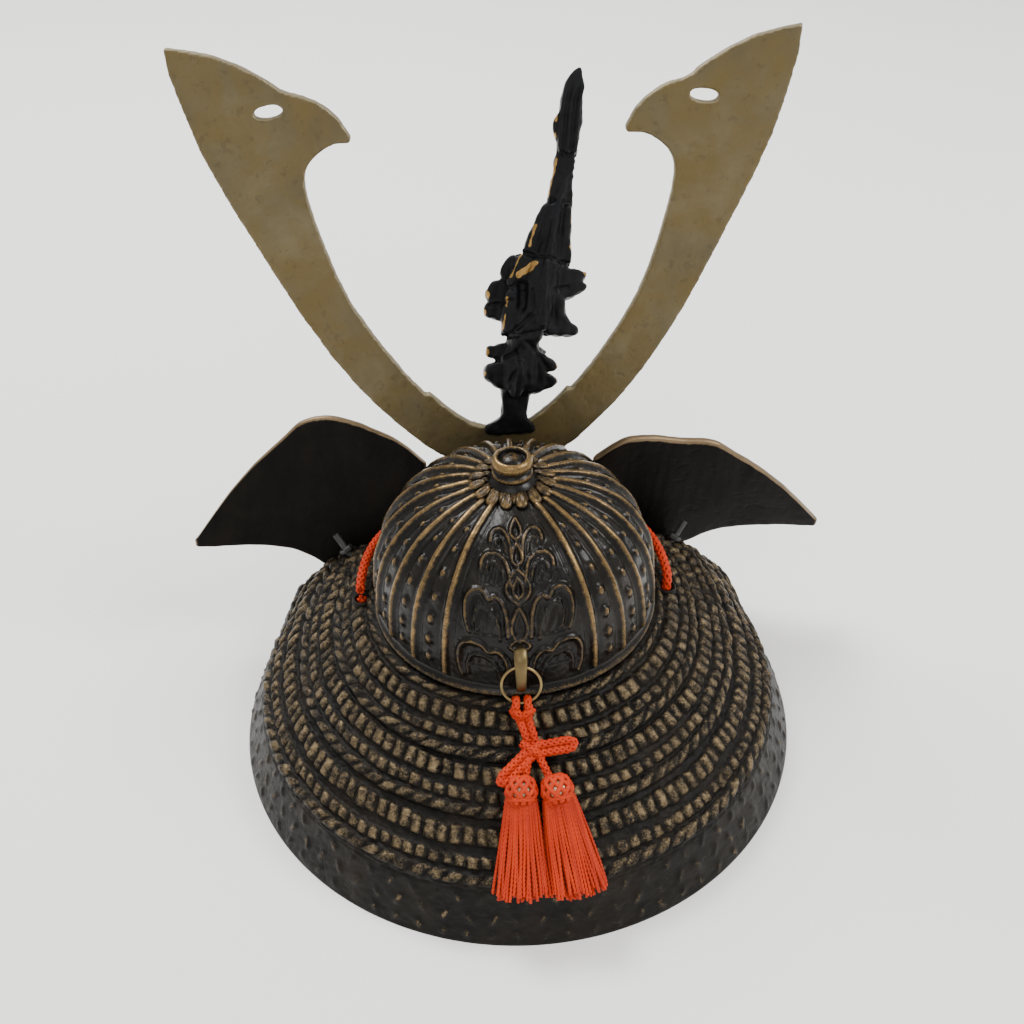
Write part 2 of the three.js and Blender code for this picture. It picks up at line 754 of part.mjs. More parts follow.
const earColumns = [
  { across: 0, bottom: 0.55, top: 0.8 },
  { across: 0.07, bottom: 0.52, top: 0.89 },
  { across: 0.125, bottom: 0.5, top: 0.94 },
  { across: 0.15, bottom: 0.14, top: 0.955 },
  { across: 0.26, bottom: 0.08, top: 0.99 },
  { across: 0.4, bottom: 0, top: 0.99 },
  { across: 0.46, bottom: 0.02, top: 0.985 },
  { across: 0.52, bottom: 0.09, top: 0.97 },
  { across: 0.6, bottom: 0.16, top: 0.86 },
  { across: 0.72, bottom: 0.21, top: 0.735 },
  { across: 0.83, bottom: 0.24, top: 0.59 },
  { across: 0.92, bottom: 0.26, top: 0.45 },
  { across: 1, bottom: 0.29, top: 0.32 },
];

function earSetForwardAt(across) {
  return earSetForward - earCurl * ((across - earCurlMiddle) / earCurlAcross) ** 2;
}

function earPoint(side, tilt, across, height, out) {
  const up = height - earPivotHeight;
  const setForward = earSetForwardAt(across) + up * sin(tilt) + out * cos(tilt);
  return vec(side * across, -setForward, earPivotHeight + up * cos(tilt) - out * sin(tilt));
}

function makeEarPlate(side, tilt, foot) {
  const rows = [0, 0.33, 0.66, 1];
  const half = earThickness / 2;
  const sections = earColumns.map(({ across, bottom, top }) => {
    const place = lerp(earRoot, earReach, across);
    const heightAt = (share) => foot + earHeight * lerp(bottom, top, share);
    const back = rows.map((share) => earPoint(side, tilt, place, heightAt(share), -half));
    const front = rows.map((share) => earPoint(side, tilt, place, heightAt(share), half));
    return [...back, ...front.reverse()];
  });
  const boltHole = rod(...boltEnds(side, guardWall + flangeThickness * 3, 0), boltHoleRadius,
    boltHoleRadius, 8);
  const skin = loft(sections);
  return fuse([skin, makeFlange(side, tilt)]).subtract(boltHole);
}

// The flange runs from the plate's foot back under the guard's end.
function makeFlange(side, tilt) {
  const sections = [];
  const steps = 4;
  for (let i = 0; i <= steps; i += 1) {
    const across = lerp(flangeInner, flangeOuter, i / steps);
    const footRise = guardUnder(across, earSetForward) - earPivotHeight;
    const front = earSetForwardAt(across) + footRise * (sin(tilt) / cos(tilt));
    const top = [];
    for (let j = 0; j <= steps; j += 1) {
      const setForward = lerp(flangeBack, front, j / steps);
      top.push(vec(side * across, -setForward, guardUnder(across, setForward)));
    }
    const bottom = top.map((point) => point.clone().add(vec(0, 0, -flangeThickness)));
    sections.push([...top, ...bottom.reverse()]);
  }
  return loft(sections);
}

// Height just under the guard's wall at a place given across and toward the front
function guardUnder(across, setForward) {
  let share = 0.5;
  for (let i = 0; i < 12; i += 1) {
    const ringForward = bowlSetForward * (1 - share);
    const radius = Math.hypot(across, setForward - ringForward) - ringForward;
    share = clamp((radius - slopeTopBack) / (foldRadius - slopeTopBack), 0, 1);
  }
  const angle = 180 - THREE.MathUtils.radToDeg(Math.atan2(across, setForward));
  const wallDrop = (guardWall + flangeClearance) / cos(slopeAngle);
  return lerp(seatHeight, hemHeight, share) + liftAt(angle, share) - wallDrop;
}

// Back staple: a strap standing off the bowl, through which the ring hangs.

function makeStaple() {
  const bowlBack = (height) => (
    Math.sqrt(Math.max(bowlRadius ** 2 - (height - bowlCentreHeight) ** 2, 0)) - bowlSetForward
      + clearance
  );
  const foot = bowlFloor + bowlSkirt;
  const rows = [
    { rise: 1, stand: 0.25, width: 1 },
    { rise: 0.98, stand: 0.62, width: 1 },
    { rise: 0.84, stand: 0.95, width: 0.96 },
    { rise: 0.6, stand: 1.05, width: 0.86 },
    { rise: 0.36, stand: 0.96, width: 0.78 },
    { rise: 0.16, stand: 0.62, width: 0.74 },
    { rise: 0.1, stand: 0.25, width: 0.74 },
  ];
  const middle = rows.map(({ rise, stand }) => {
    const height = foot + stapleTopHeight * rise;
    return vec(0, bowlBack(foot + 1) + stapleReach * stand - (1 - stand) * 0.8
      - (bowlBack(foot + 1) - bowlBack(height)) * 0.9, height);
  });
  const half = stapleThickness / 2;
  const sections = middle.map((point, i) => {
    const ahead = middle[Math.min(i + 1, middle.length - 1)];
    const behind = middle[Math.max(i - 1, 0)];
    const along = ahead.clone().sub(behind).normalize();
    const outward = vec(0, -along.z, along.y).multiplyScalar(half);
    const halfWidth = (stapleWidth / 2) * rows[i].width;
    return [
      point.clone().add(outward).add(vec(-halfWidth, 0, 0)),
      point.clone().add(outward).add(vec(halfWidth, 0, 0)),
      point.clone().sub(outward).add(vec(halfWidth, 0, 0)),
      point.clone().sub(outward).add(vec(-halfWidth, 0, 0)),
    ];
  });
  return loft(sections);
}

const ringCentre = vec(0, bowlRadius - bowlSetForward + ringStandOff, bowlFloor + ringDrop);

function ringPoint(angle) {
  const down = vec(0, sin(ringLean), -cos(ringLean));
  return ringCentre.clone()
    .addScaledVector(vec(1, 0, 0), ringRadius * sin(angle))
    .addScaledVector(down, ringRadius * cos(angle));
}

function makeRing() {
  const steps = 16;
  const sides = 6;
  const normal = vec(0, cos(ringLean), sin(ringLean));
  const sections = [];
  for (let i = 0; i < steps; i += 1) {
    const angle = (360 * i) / steps;
    const centre = ringPoint(angle);
    const outward = centre.clone().sub(ringCentre).normalize();
    const section = [];
    for (let j = 0; j < sides; j += 1) {
      const turn = (360 * j) / sides;
      section.push(centre.clone()
        .addScaledVector(outward, ringWire * cos(turn))
        .addScaledVector(normal, ringWire * sin(turn)));
    }
    sections.push(section);
  }
  return loft(sections, true);
}

// Slope frame at the back: x across, down the guard from the bowl, and out from its relief.

function slopePlace(across, distance, out) {
  const down = vec(0, cos(slopeAngle), -sin(slopeAngle));
  const outward = vec(0, sin(slopeAngle), cos(slopeAngle));
  return vec(across, slopeTopBack, seatHeight)
    .addScaledVector(down, distance)
    .addScaledVector(outward, lameRelief + clearance + out);
}

const knotPlace = slopePlace(knotAside, knotDistance, knotRadius);
const headPlaces = [-1, 1].map((side) => (
  slopePlace(headAside + side * headSpacing, headDistance, headRadius)
));

function makeTasselCord() {
  const wire = ringPoint(0);
  const turnRadius = (ringWire + clearance + hangerRadius) * 1.2;
  const loops = [-1, 1].map((side) => {
    const across = side * hangerSpacing;
    const curve = new THREE.CatmullRomCurve3([
      slopePlace(across + knotAside, knotDistance - 1, hangerRadius),
      slopePlace(across, knotDistance * 0.6, hangerRadius),
      vec(across, wire.y + turnRadius * 0.3, wire.z - turnRadius),
      vec(across, wire.y - turnRadius, wire.z),
      vec(across, wire.y + turnRadius * 0.2, wire.z + turnRadius),
      slopePlace(across, knotDistance * 0.65, hangerRadius * 3.2),
      slopePlace(across + knotAside, knotDistance - 1, hangerRadius * 2.6),
    ]);
    return toSolid(tubeAlong(curve, hangerRadius, 14, 5));
  });
  const knot = ball(knotPlace, [knotRadius * 1.2, knotRadius, knotRadius], 8);
  const sideLoops = [
    { across: -1.12, down: -0.1 },
    { across: 0.82, down: 0.57 },
  ].map(({ across, down }) => {
    const tip = slopePlace(knotAside + across * loopLength, knotDistance + down * loopLength,
      loopProud);
    return rod(knotPlace, tip, hangerRadius * 1.5, hangerRadius * 1.6, 6);
  });
  const legs = headPlaces.map((head) => rod(knotPlace, legEnd(head), hangerRadius, hangerRadius, 6));
  return fuse([...loops, knot, ...sideLoops, ...legs]);
}

// The leg stops just short of its head.
function legEnd(head) {
  const toKnot = knotPlace.clone().sub(head).normalize();
  return head.clone().addScaledVector(toKnot, headRadius + clearance);
}

function makeTassel(side) {
  const head = headPlaces[side < 0 ? 0 : 1];
  const rows = [
    { along: 0.04, width: 0.6, thick: 0.8 },
    { along: 0.14, width: 0.5, thick: 0.7 },
    { along: 0.4, width: 0.66, thick: 0.9 },
    { along: 0.72, width: 0.86, thick: 1 },
    { along: 1, width: 1, thick: 0.96 },
  ];
  const points = tasselLocks * 2;
  const splay = side * tasselSplay;
  const sections = rows.map(({ along, width, thick }) => {
    const distance = along * tasselLength;
    const middle = slopePlace(headAside + side * headSpacing + distance * sin(splay),
      headDistance + distance * cos(splay), (tasselThickness * thick) / 2);
    const section = [];
    for (let i = 0; i < points; i += 1) {
      const angle = (360 * i) / points;
      const lock = i % 2 ? 0.86 : 1;
      const across = (tasselEndWidth / 2) * width * lock * cos(angle);
      const out = (tasselThickness / 2) * thick * lock * sin(angle);
      section.push(middle.clone()
        .add(vec(across * cos(splay), -across * sin(splay) * cos(slopeAngle), 0))
        .add(vec(0, out * sin(slopeAngle), out * cos(slopeAngle))));
    }
    return section;
  });
  const knob = ball(head, [headRadius * 0.95, headRadius, headRadius], 10);
  return fuse([loft(sections), knob]);
}

// Chin cord. Its places are angle from the back, radius from the bowl's middle and height.

function cordHoleEnds(side) {
  const radius = seatOuter + cordHoleOut;
  const place = (height) => vec(side * radius * sin(cordHoleAngle),
    radius * cos(cordHoleAngle) - bowlSetForward, height);
  return [place(seatHeight - guardWall * 5), place(seatHeight + guardWall * 2)];
}

function makeChinCord() {
  const holeRadius = seatOuter + cordHoleOut;
  const onFloor = chinCordRadius + clearance;
  const halfRoute = [
    { angle: 180, radius: 49.6, height: 52.4 },
    { angle: 165, radius: 49.6, height: 52.4 },
    { angle: 150, radius: 49.7, height: 52.6 },
    { angle: 136, radius: 50.2, height: 54.4 },
    { angle: 122, radius: 51.6, height: 56.4 },
    { angle: 109, radius: 51.8, height: 55.8 },
    { angle: 98, radius: 51.6, height: 54 },
    { angle: 93.6, radius: 51.6, height: 52.4 },
    { angle: cordHoleAngle, radius: holeRadius, height: 49 },
    { angle: cordHoleAngle, radius: holeRadius, height: 43 },
    { angle: cordHoleAngle, radius: holeRadius, height: 30 },
    { angle: 90, radius: 51, height: 14 },
    { angle: 84, radius: 52, height: 4.4 },
    { angle: 68, radius: 54, height: onFloor },
    { angle: 48, radius: 57, height: onFloor },
    { angle: 24, radius: 58, height: onFloor },
  ];
  const place = (side) => ({ angle, radius, height }) => vec(side * radius * sin(angle),
    radius * cos(angle) - bowlSetForward, height);
  const right = halfRoute.map(place(1));
  const left = halfRoute.slice(1).reverse().map(place(-1));
  const floorMiddle = place(1)({ angle: 0, radius: 58, height: onFloor });
  const curve = new THREE.CatmullRomCurve3([...right, floorMiddle, ...left], true);
  return toSolid(ringTube(curve, chinCordRadius, 64, 6));
}

// A closed tube round a closed curve
function ringTube(curve, radius, steps, sides) {
  const frames = curve.computeFrenetFrames(steps, true);
  const positions = [];
  const point = (i, j) => {
    const step = i % steps;
    const turn = (2 * Math.PI * (j % sides)) / sides;
    return curve.getPointAt(step / steps)
      .addScaledVector(frames.normals[step], radius * Math.cos(turn))
      .addScaledVector(frames.binormals[step], radius * Math.sin(turn)).toArray();
  };
  for (let i = 0; i < steps; i += 1) {
    for (let j = 0; j < sides; j += 1) {
      positions.push(...point(i, j), ...point(i, j + 1), ...point(i + 1, j + 1));
      positions.push(...point(i, j), ...point(i + 1, j + 1), ...point(i + 1, j));
    }
  }
  const geometry = new THREE.BufferGeometry();
  geometry.setAttribute("position", new THREE.Float32BufferAttribute(positions, 3));
  return geometry;
}

// Materials

const finish = (color, roughness, metalness) => (
  new THREE.MeshStandardMaterial({ color, roughness, metalness })
);
const rubbedBronze = () => finish(0x2e2820, 0.45, 0.7);
const castBrass = () => finish(0x6e6242, 0.5, 0.8);
const blackIron = () => finish(0x16171a, 0.55, 0.4);
const orangeSilk = () => finish(0xe05a2c, 0.8, 0);
const yellowBrass = () => finish(0x8f7440, 0.35, 0.9);
const greySteel = () => finish(0x55524c, 0.5, 0.8);

function piece(name, solid, material) {
  const mesh = new THREE.Mesh(toGeometry(solid), material);
  mesh.name = name;
  return mesh;
}

// Assembly

const helmet = new THREE.Group();
helmet.add(
  piece("neck_guard", makeNeckGuard(), rubbedBronze()),
  piece("crown_bowl", makeBowl(), rubbedBronze()),
  piece("crown_finial", makeFinial(), rubbedBronze()),
  piece("visor", makeVisor(), rubbedBronze()),
  piece("horn_bracket", makeBracket(), rubbedBronze()),
  piece("ear_plate_left", makeEarPlate(1, earTiltLeft, earFootLeft), rubbedBronze()),
  piece("ear_plate_right", makeEarPlate(-1, earTiltRight, earFootRight), rubbedBronze()),
  piece("ear_bolt_left", makeBolt(1), greySteel()),
  piece("ear_bolt_right", makeBolt(-1), greySteel()),
  piece("back_staple", makeStaple(), yellowBrass()),
  piece("tassel_ring", makeRing(), yellowBrass()),
  piece("tassel_cord", makeTasselCord(), orangeSilk()),
  piece("tassel_left", makeTassel(1), orangeSilk()),
  piece("tassel_right", makeTassel(-1), orangeSilk()),
  piece("chin_cord", makeChinCord(), orangeSilk()),
);

// The horns and the crest share the plate's leaning frame.
const hornFrame = new THREE.Group();
hornFrame.position.set(hornAside, -hornFootSetForward, hornFootHeight);
hornFrame.rotation.set(
  THREE.MathUtils.degToRad(90 + hornLean),
  0,
  THREE.MathUtils.degToRad(-hornAskew),
);
hornFrame.add(
  piece("horn_plate", makeHorns(), castBrass()),
  piece("dragon_crest", makeCrest(), blackIron()),
);
helmet.add(hornFrame);

// The origin is under the middle of the whole helmet.
const model = new THREE.Group();
model.add(helmet);
model.updateMatrixWorld(true);
const extent = new THREE.Box3().setFromObject(helmet, true);
const middle = extent.getCenter(vec(0, 0, 0));
helmet.position.set(-middle.x, -middle.y, -extent.min.z);

export default model;
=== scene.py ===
import math

import bmesh
import bpy
import numpy as np
from bpy.props import FloatProperty, FloatVectorProperty, IntProperty, PointerProperty
from mathutils import Matrix, Vector


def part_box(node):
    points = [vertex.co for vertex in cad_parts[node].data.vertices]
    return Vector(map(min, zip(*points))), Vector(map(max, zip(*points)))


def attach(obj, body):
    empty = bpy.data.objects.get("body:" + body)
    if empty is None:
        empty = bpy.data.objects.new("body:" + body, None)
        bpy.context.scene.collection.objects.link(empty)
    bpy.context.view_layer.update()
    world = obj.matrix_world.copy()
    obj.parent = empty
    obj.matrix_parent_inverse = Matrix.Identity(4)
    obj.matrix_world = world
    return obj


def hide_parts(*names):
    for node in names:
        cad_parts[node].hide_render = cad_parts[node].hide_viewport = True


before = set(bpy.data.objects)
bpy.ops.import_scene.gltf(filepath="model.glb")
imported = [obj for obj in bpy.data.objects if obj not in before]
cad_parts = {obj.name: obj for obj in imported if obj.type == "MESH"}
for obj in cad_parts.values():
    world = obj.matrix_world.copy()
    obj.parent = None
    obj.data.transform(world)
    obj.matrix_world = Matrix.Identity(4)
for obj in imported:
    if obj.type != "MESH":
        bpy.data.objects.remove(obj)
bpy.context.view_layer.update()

bl_info = {
    "name": "Cast Kabuto Helmet",
    "version": (1, 0, 0),
    "blender": (4, 5, 0),
    "location": "View3D > Sidebar > Helmet",
    "description": "Dresses a cast display helmet: laced neck guard, ribbed bowl, horns, crest and tassels",
    "category": "Mesh",
}

MM = 0.001

# The neck guard and the bowl, in millimetres, with the middle of the rim at the origin
BOWL_SET_FORWARD = 3.5
CLEARANCE = 0.3
GUARD_WALL = 2.6
SEAT_WIDTH = 4.5
HEM_HEIGHT = 16.0
HEM_WIDTH = 7.0
HEM_END_ANGLE = 117.0
TOP_END_ANGLE = 128.0
FRONT_LIFT = 9.0
HEM_LIFT = 7.0
LIFT_START_ANGLE = 80.0
HEM_LIFT_START_ANGLE = 104.0
BOWL_WALL = 2.6
BEAD_REACH = 1.6
BOWL_SKIRT = 2.0
RIB_PITCH = 15.0
BOWL_FULLNESS = 2.6
PANEL_HALF = 30.0
BOLT_ANGLE = 121.0
CORD_HOLE_ANGLE = 92.0
CORD_HOLE_OUT = 4.4
HORN_LEAN = 8.5
CREST_FOOT_FORWARD = 48.1
CREST_FOOT_HEIGHT = 75.6


def box_mm(node):
    low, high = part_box(node)
    return np.array(low) / MM, np.array(high) / MM


GUARD_LOW, GUARD_HIGH = box_mm("neck_guard")
BOWL_LOW, BOWL_HIGH = box_mm("crown_bowl")
FINIAL_LOW, FINIAL_HIGH = box_mm("crown_finial")
SHIFT_Y = (FINIAL_LOW[1] + FINIAL_HIGH[1]) / 2 + BOWL_SET_FORWARD
RIM_RADIUS = round((GUARD_HIGH[0] - GUARD_LOW[0]) / 2)
FOLD_RADIUS = RIM_RADIUS - HEM_WIDTH
BOWL_FLOOR = BOWL_LOW[2]
SEAT_HEIGHT = BOWL_FLOOR - CLEARANCE
BOWL_RADIUS = (BOWL_HIGH[0] - BOWL_LOW[0]) / 2 - BEAD_REACH
BOWL_CENTRE = BOWL_FLOOR + BOWL_SKIRT
SEAT_OUTER = BOWL_RADIUS + BEAD_REACH + CLEARANCE
SLOPE_TOP = SEAT_OUTER - BOWL_SET_FORWARD
SLOPE_LENGTH = math.hypot(FOLD_RADIUS - SLOPE_TOP, SEAT_HEIGHT - HEM_HEIGHT)
SLOPE_ANGLE = math.atan2(SEAT_HEIGHT - HEM_HEIGHT, FOLD_RADIUS - SLOPE_TOP)


def settle(points):
    """Points of the helmet in millimetres, as metres in the row frame."""
    return (np.asarray(points, float) + (0, SHIFT_Y, 0)) * MM


def lerp(a, b, share):
    return a + (b - a) * share


def smooth(x, low, high):
    t = np.clip((np.asarray(x, float) - low) / (high - low), 0, 1)
    return t * t * (3 - 2 * t)


def ripple(points, wavelength, seed, waves=14):
    """Soft random relief from -1 to 1 or so, with a given wavelength in millimetres."""
    random = np.random.default_rng(seed)
    direction = random.normal(size=(waves, 3))
    direction /= np.linalg.norm(direction, axis=1)[:, None]
    rate = 2 * np.pi / (wavelength * random.uniform(0.7, 1.5, waves))
    phase = random.uniform(0, 2 * np.pi, waves)
    flat = np.asarray(points, float).reshape(-1, 3)
    total = np.zeros(len(flat))
    for way, k, start in zip(direction, rate, phase):
        total += np.sin(flat @ way * k + start)
    return (total / math.sqrt(waves)).reshape(np.shape(points)[:-1])


# Meshes


class Shape:
    """Points, faces and a mask that marks worn metal, gilt and the silk's painted shade, gathered from many
    small forms into one piece.
    """

    def __init__(self):
        self.points = []
        self.faces = []
        self.masks = []
        self.count = 0

    def add(self, points, faces, mask=0.0):
        flat = np.asarray(points, float).reshape(-1, 3)
        self.points.append(flat)
        self.masks.append(np.broadcast_to(np.asarray(mask, float).reshape(-1), (len(flat),))
                          if np.size(mask) in (1, len(flat)) else np.ravel(mask))
        self.faces.extend([[int(i) + self.count for i in face] for face in faces])
        self.count += len(flat)

    def build(self, name, material, nodes, smooth_faces=True):
        mesh = bpy.data.meshes.new(name)
        mesh.from_pydata(settle(np.concatenate(self.points)).tolist(), [], self.faces)
        return finish_piece(name, mesh, material, nodes, np.concatenate(self.masks), smooth_faces)


def face_outward(mesh):
    fresh = bmesh.new()
    fresh.from_mesh(mesh)
    bmesh.ops.recalc_face_normals(fresh, faces=fresh.faces)
    fresh.to_mesh(mesh)
    fresh.free()


def skin_of(mesh):
    """Places of a mesh's points and their normals."""
    coords = np.zeros(len(mesh.vertices) * 3)
    normals = np.zeros(len(mesh.vertices) * 3)
    mesh.vertices.foreach_get("co", coords)
    mesh.vertices.foreach_get("normal", normals)
    return coords.reshape(-1, 3), normals.reshape(-1, 3)


def finish_piece(name, mesh, material, nodes, mask, smooth_faces=True):
    mesh.validate()
    face_outward(mesh)
    # The relief attribute marks worn metal and gilt, and on silk the share of painted shade
    relief = mesh.attributes.new("relief", "FLOAT", "POINT")
    relief.data.foreach_set("value", np.asarray(mask, np.float32))
    mesh.polygons.foreach_set("use_smooth", [smooth_faces] * len(mesh.polygons))
    mesh.materials.clear()
    mesh.materials.append(material)
    piece = bpy.data.objects.new(name, mesh)
    bpy.context.scene.collection.objects.link(piece)
    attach(piece, "root")
    if nodes:
        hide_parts(*nodes)
    return piece


def grid_faces(rows, columns, close_rows=False, close_columns=False):
    last_row = rows if close_rows else rows - 1
    last_column = columns if close_columns else columns - 1
    i, j = np.meshgrid(np.arange(last_row), np.arange(last_column), indexing="ij")
    below = (i + 1) % rows
    beside = (j + 1) % columns
    quads = np.stack([i * columns + j, below * columns + j, below * columns + beside,
                      i * columns + beside], axis=-1)
    return quads.reshape(-1, 4).tolist()


def capped_faces(rows, columns):
    """Faces of a closed tube: its wall, then one cap at each end."""
    ends = [list(range(columns)), list(range((rows - 1) * columns, rows * columns))]
    return grid_faces(rows, columns, close_columns=True) + ends


def turned(profile, segments, centre=(0, 0, 0)):
    """Points and faces of a profile of (radius, height) turned round the Z axis through centre."""
    angles = np.linspace(0, 2 * np.pi, segments, endpoint=False)
    radius, height = np.array(profile, float).T
    points = np.stack([radius[:, None] * np.sin(angles), radius[:, None] * np.cos(angles),
                       np.broadcast_to(height[:, None], (len(radius), segments))], axis=-1)
    return points + np.array(centre), grid_faces(len(profile), segments, close_columns=True)


def frames_along(path):
    """Two cross directions along a path, turned as little as possible."""
    tangent = np.gradient(path, axis=0)
    tangent /= np.linalg.norm(tangent, axis=1)[:, None]
    side = np.cross(tangent[0], (0.1, 0.2, 1.0))
    side /= np.linalg.norm(side)
    sides = []
    for way in tangent:
        side = side - way * (side @ way)
        side = side / np.linalg.norm(side)
        sides.append(side)
    sides = np.array(sides)
    return sides, np.cross(tangent, sides)


def tube(path, radii, sides=8, flat=1.0, lobes=0, twist=0.0, side_way=None):
    """A capped tube; lobes and twist in turns per millimetre give it the look of plied thread."""
    path = np.asarray(path, float)
    radii = np.broadcast_to(np.asarray(radii, float), (len(path),))
    side, up = frames_along(path)
    if side_way is not None:
        tangent = np.gradient(path, axis=0)
        tangent /= np.linalg.norm(tangent, axis=1)[:, None]
        side = np.array(side_way, float) - tangent * (tangent @ np.array(side_way, float))[:, None]
        side /= np.linalg.norm(side, axis=1)[:, None]
        up = np.cross(tangent, side)
    turn = np.linspace(0, 2 * np.pi, sides, endpoint=False)
    run = np.concatenate([[0], np.cumsum(np.linalg.norm(np.diff(path, axis=0), axis=1))])
    bump = 1 + 0.26 * np.cos(lobes * (turn - 2 * np.pi * twist * run[:, None])) if lobes else 1.0
    reach = radii[:, None] * bump * np.ones((len(path), sides))
    points = (path[:, None] + (reach * np.cos(turn))[..., None] * side[:, None]
              + (reach * flat * np.sin(turn))[..., None] * up[:, None])
    return points, capped_faces(len(path), sides)


def resample(points, spacing):
    """Even points along a smooth curve through some points."""
    points = np.asarray(points, float)
    knots = np.concatenate([[0], np.cumsum(np.linalg.norm(np.diff(points, axis=0), axis=1) ** 0.5)])
    padded = np.vstack([2 * points[0] - points[1], points, 2 * points[-1] - points[-2]])
    times = np.concatenate([[2 * knots[0] - knots[1]], knots, [2 * knots[-1] - knots[-2]]])
    fine = []
    for i in range(1, len(padded) - 2):
        t0, t1, t2, t3 = times[i - 1:i + 3]
        p0, p1, p2, p3 = padded[i - 1:i + 3]
        for t in np.linspace(t1, t2, 24, endpoint=False):
            a1 = (t1 - t) / (t1 - t0) * p0 + (t - t0) / (t1 - t0) * p1
            a2 = (t2 - t) / (t2 - t1) * p1 + (t - t1) / (t2 - t1) * p2
            a3 = (t3 - t) / (t3 - t2) * p2 + (t - t2) / (t3 - t2) * p3
            b1 = (t2 - t) / (t2 - t0) * a1 + (t - t0) / (t2 - t0) * a2
            b2 = (t3 - t) / (t3 - t1) * a2 + (t - t1) / (t3 - t1) * a3
            fine.append((t2 - t) / (t2 - t1) * b1 + (t - t1) / (t2 - t1) * b2)
    fine = np.array(fine + [points[-1]])
    run = np.concatenate([[0], np.cumsum(np.linalg.norm(np.diff(fine, axis=0), axis=1))])
    even = np.linspace(0, run[-1], max(int(run[-1] / spacing), 3) + 1)
    return np.stack([np.interp(even, run, fine[:, k]) for k in range(3)], axis=-1)


def braid(shape, points, radius, pitch=5.2, strands=8):
    """Plaited cord: half of the strands wind each way and pass over and under each other."""
    path = resample(points, pitch * radius / 16)
    side, up = frames_along(path)
    run = np.concatenate([[0], np.cumsum(np.linalg.norm(np.diff(path, axis=0), axis=1))])
    half = strands // 2
    for way in (-1, 1):
        for i in range(half):
            turn = way * 2 * np.pi * run / (pitch * radius) + 2 * np.pi * (i + way * 0.25) / half
            reach = radius * (0.66 + 0.1 * way * np.sin(half * turn))
            strand = (path + (reach * np.cos(turn))[:, None] * side
                      + (reach * np.sin(turn))[:, None] * up)
            # Strands take mask 1, the silk's lit colour; the core below takes mask 0, painted shade showing
            # between the strands
            shape.add(*tube(strand, radius * 0.33, 5), 1.0)
    shape.add(*tube(path, radius * 0.5), 0.0)


def cast_copy(node, name, voxel, material, rounds=4, lumps=0.1, lump_size=7.0, face_way=None):
    """A CAD piece as a casting: its own shape with rounded edges and a slightly uneven skin."""
    mesh = bpy.data.meshes.new(name)
    solid = bmesh.new()
    solid.from_mesh(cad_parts[node].data)
    bmesh.ops.remove_doubles(solid, verts=solid.verts, dist=0.01 * MM)
    solid.to_mesh(mesh)
    solid.free()
    scratch = bpy.data.objects.new(name + "_rough", mesh)
    bpy.context.scene.collection.objects.link(scratch)
    fine = refine(scratch, voxel, rounds)
    coords, normals = skin_of(fine)
    uneven = ripple(coords / MM, lump_size, 3) * lumps + ripple(coords / MM, lump_size / 3, 4) * lumps / 3
    coords += normals * uneven[:, None] * MM
    fine.vertices.foreach_set("co", coords.ravel())
    mask = np.zeros(len(coords))
    if face_way is not None:
        facing = np.abs(normals @ np.array(face_way, float))
        mask = 1 - smooth(facing, 0.62, 0.95)
    return finish_piece(name, fine, material, [node], mask)


def refine(scratch, voxel, rounds):
    """Even small faces over a rough solid, smoothed. The rough object is removed."""
    remesh = scratch.modifiers.new("even", "REMESH")
    remesh.mode = "VOXEL"
    remesh.voxel_size = voxel * MM
    soften = scratch.modifiers.new("soften", "SMOOTH")
    soften.factor = 0.5
    soften.iterations = rounds
    ready = scratch.evaluated_get(bpy.context.evaluated_depsgraph_get())
    fine = bpy.data.meshes.new_from_object(ready)
    old = scratch.data
    bpy.data.objects.remove(scratch)
    bpy.data.meshes.remove(old)
    return fine


# Materials


def put(tree, kind, inputs=None, **settings):
    node = tree.nodes.new(kind)
    for key, value in settings.items():
        setattr(node, key, value)
    for key, value in (inputs or {}).items():
        if isinstance(value, bpy.types.NodeSocket):
            tree.links.new(value, node.inputs[key])
        else:
            node.inputs[key].default_value = value
    return node


def math_node(tree, operation, a, b=0.0, clamp=False):
    node = put(tree, "ShaderNodeMath", {0: a, 1: b}, operation=operation)
    node.use_clamp = clamp
    return node.outputs[0]


def mix_colour(tree, share, a, b):
    node = put(tree, "ShaderNodeMix", data_type="RGBA")
    for socket, value in ((node.inputs[0], share), (node.inputs[6], a), (node.inputs[7], b)):
        if isinstance(value, bpy.types.NodeSocket):
            tree.links.new(value, socket)
        else:
            socket.default_value = value
    return node.outputs[2]


def remap(tree, value, low, high, to_low=0.0, to_high=1.0):
    node = put(tree, "ShaderNodeMapRange", {"Value": value, "From Min": low, "From Max": high,
                                            "To Min": to_low, "To Max": to_high})
    node.interpolation_type = "SMOOTHSTEP"
    return node.outputs[0]


def noise(tree, scale, detail=4.0, roughness=0.6, distortion=0.0):
    coords = put(tree, "ShaderNodeTexCoord")
    node = put(tree, "ShaderNodeTexNoise", {"Vector": coords.outputs["Object"], "Scale": scale,
                                            "Detail": detail, "Roughness": roughness,
                                            "Distortion": distortion})
    return node.outputs["Fac"]


def new_group(name, inputs, outputs):
    tree = bpy.data.node_groups.new(name, "ShaderNodeTree")
    for label, default in inputs:
        socket = tree.interface.new_socket(label, in_out="INPUT", socket_type="NodeSocketFloat")
        socket.default_value = default
    for label in outputs:
        tree.interface.new_socket(label, in_out="OUTPUT", socket_type="NodeSocketFloat")
    return tree, tree.nodes.new("NodeGroupInput"), tree.nodes.new("NodeGroupOutput")


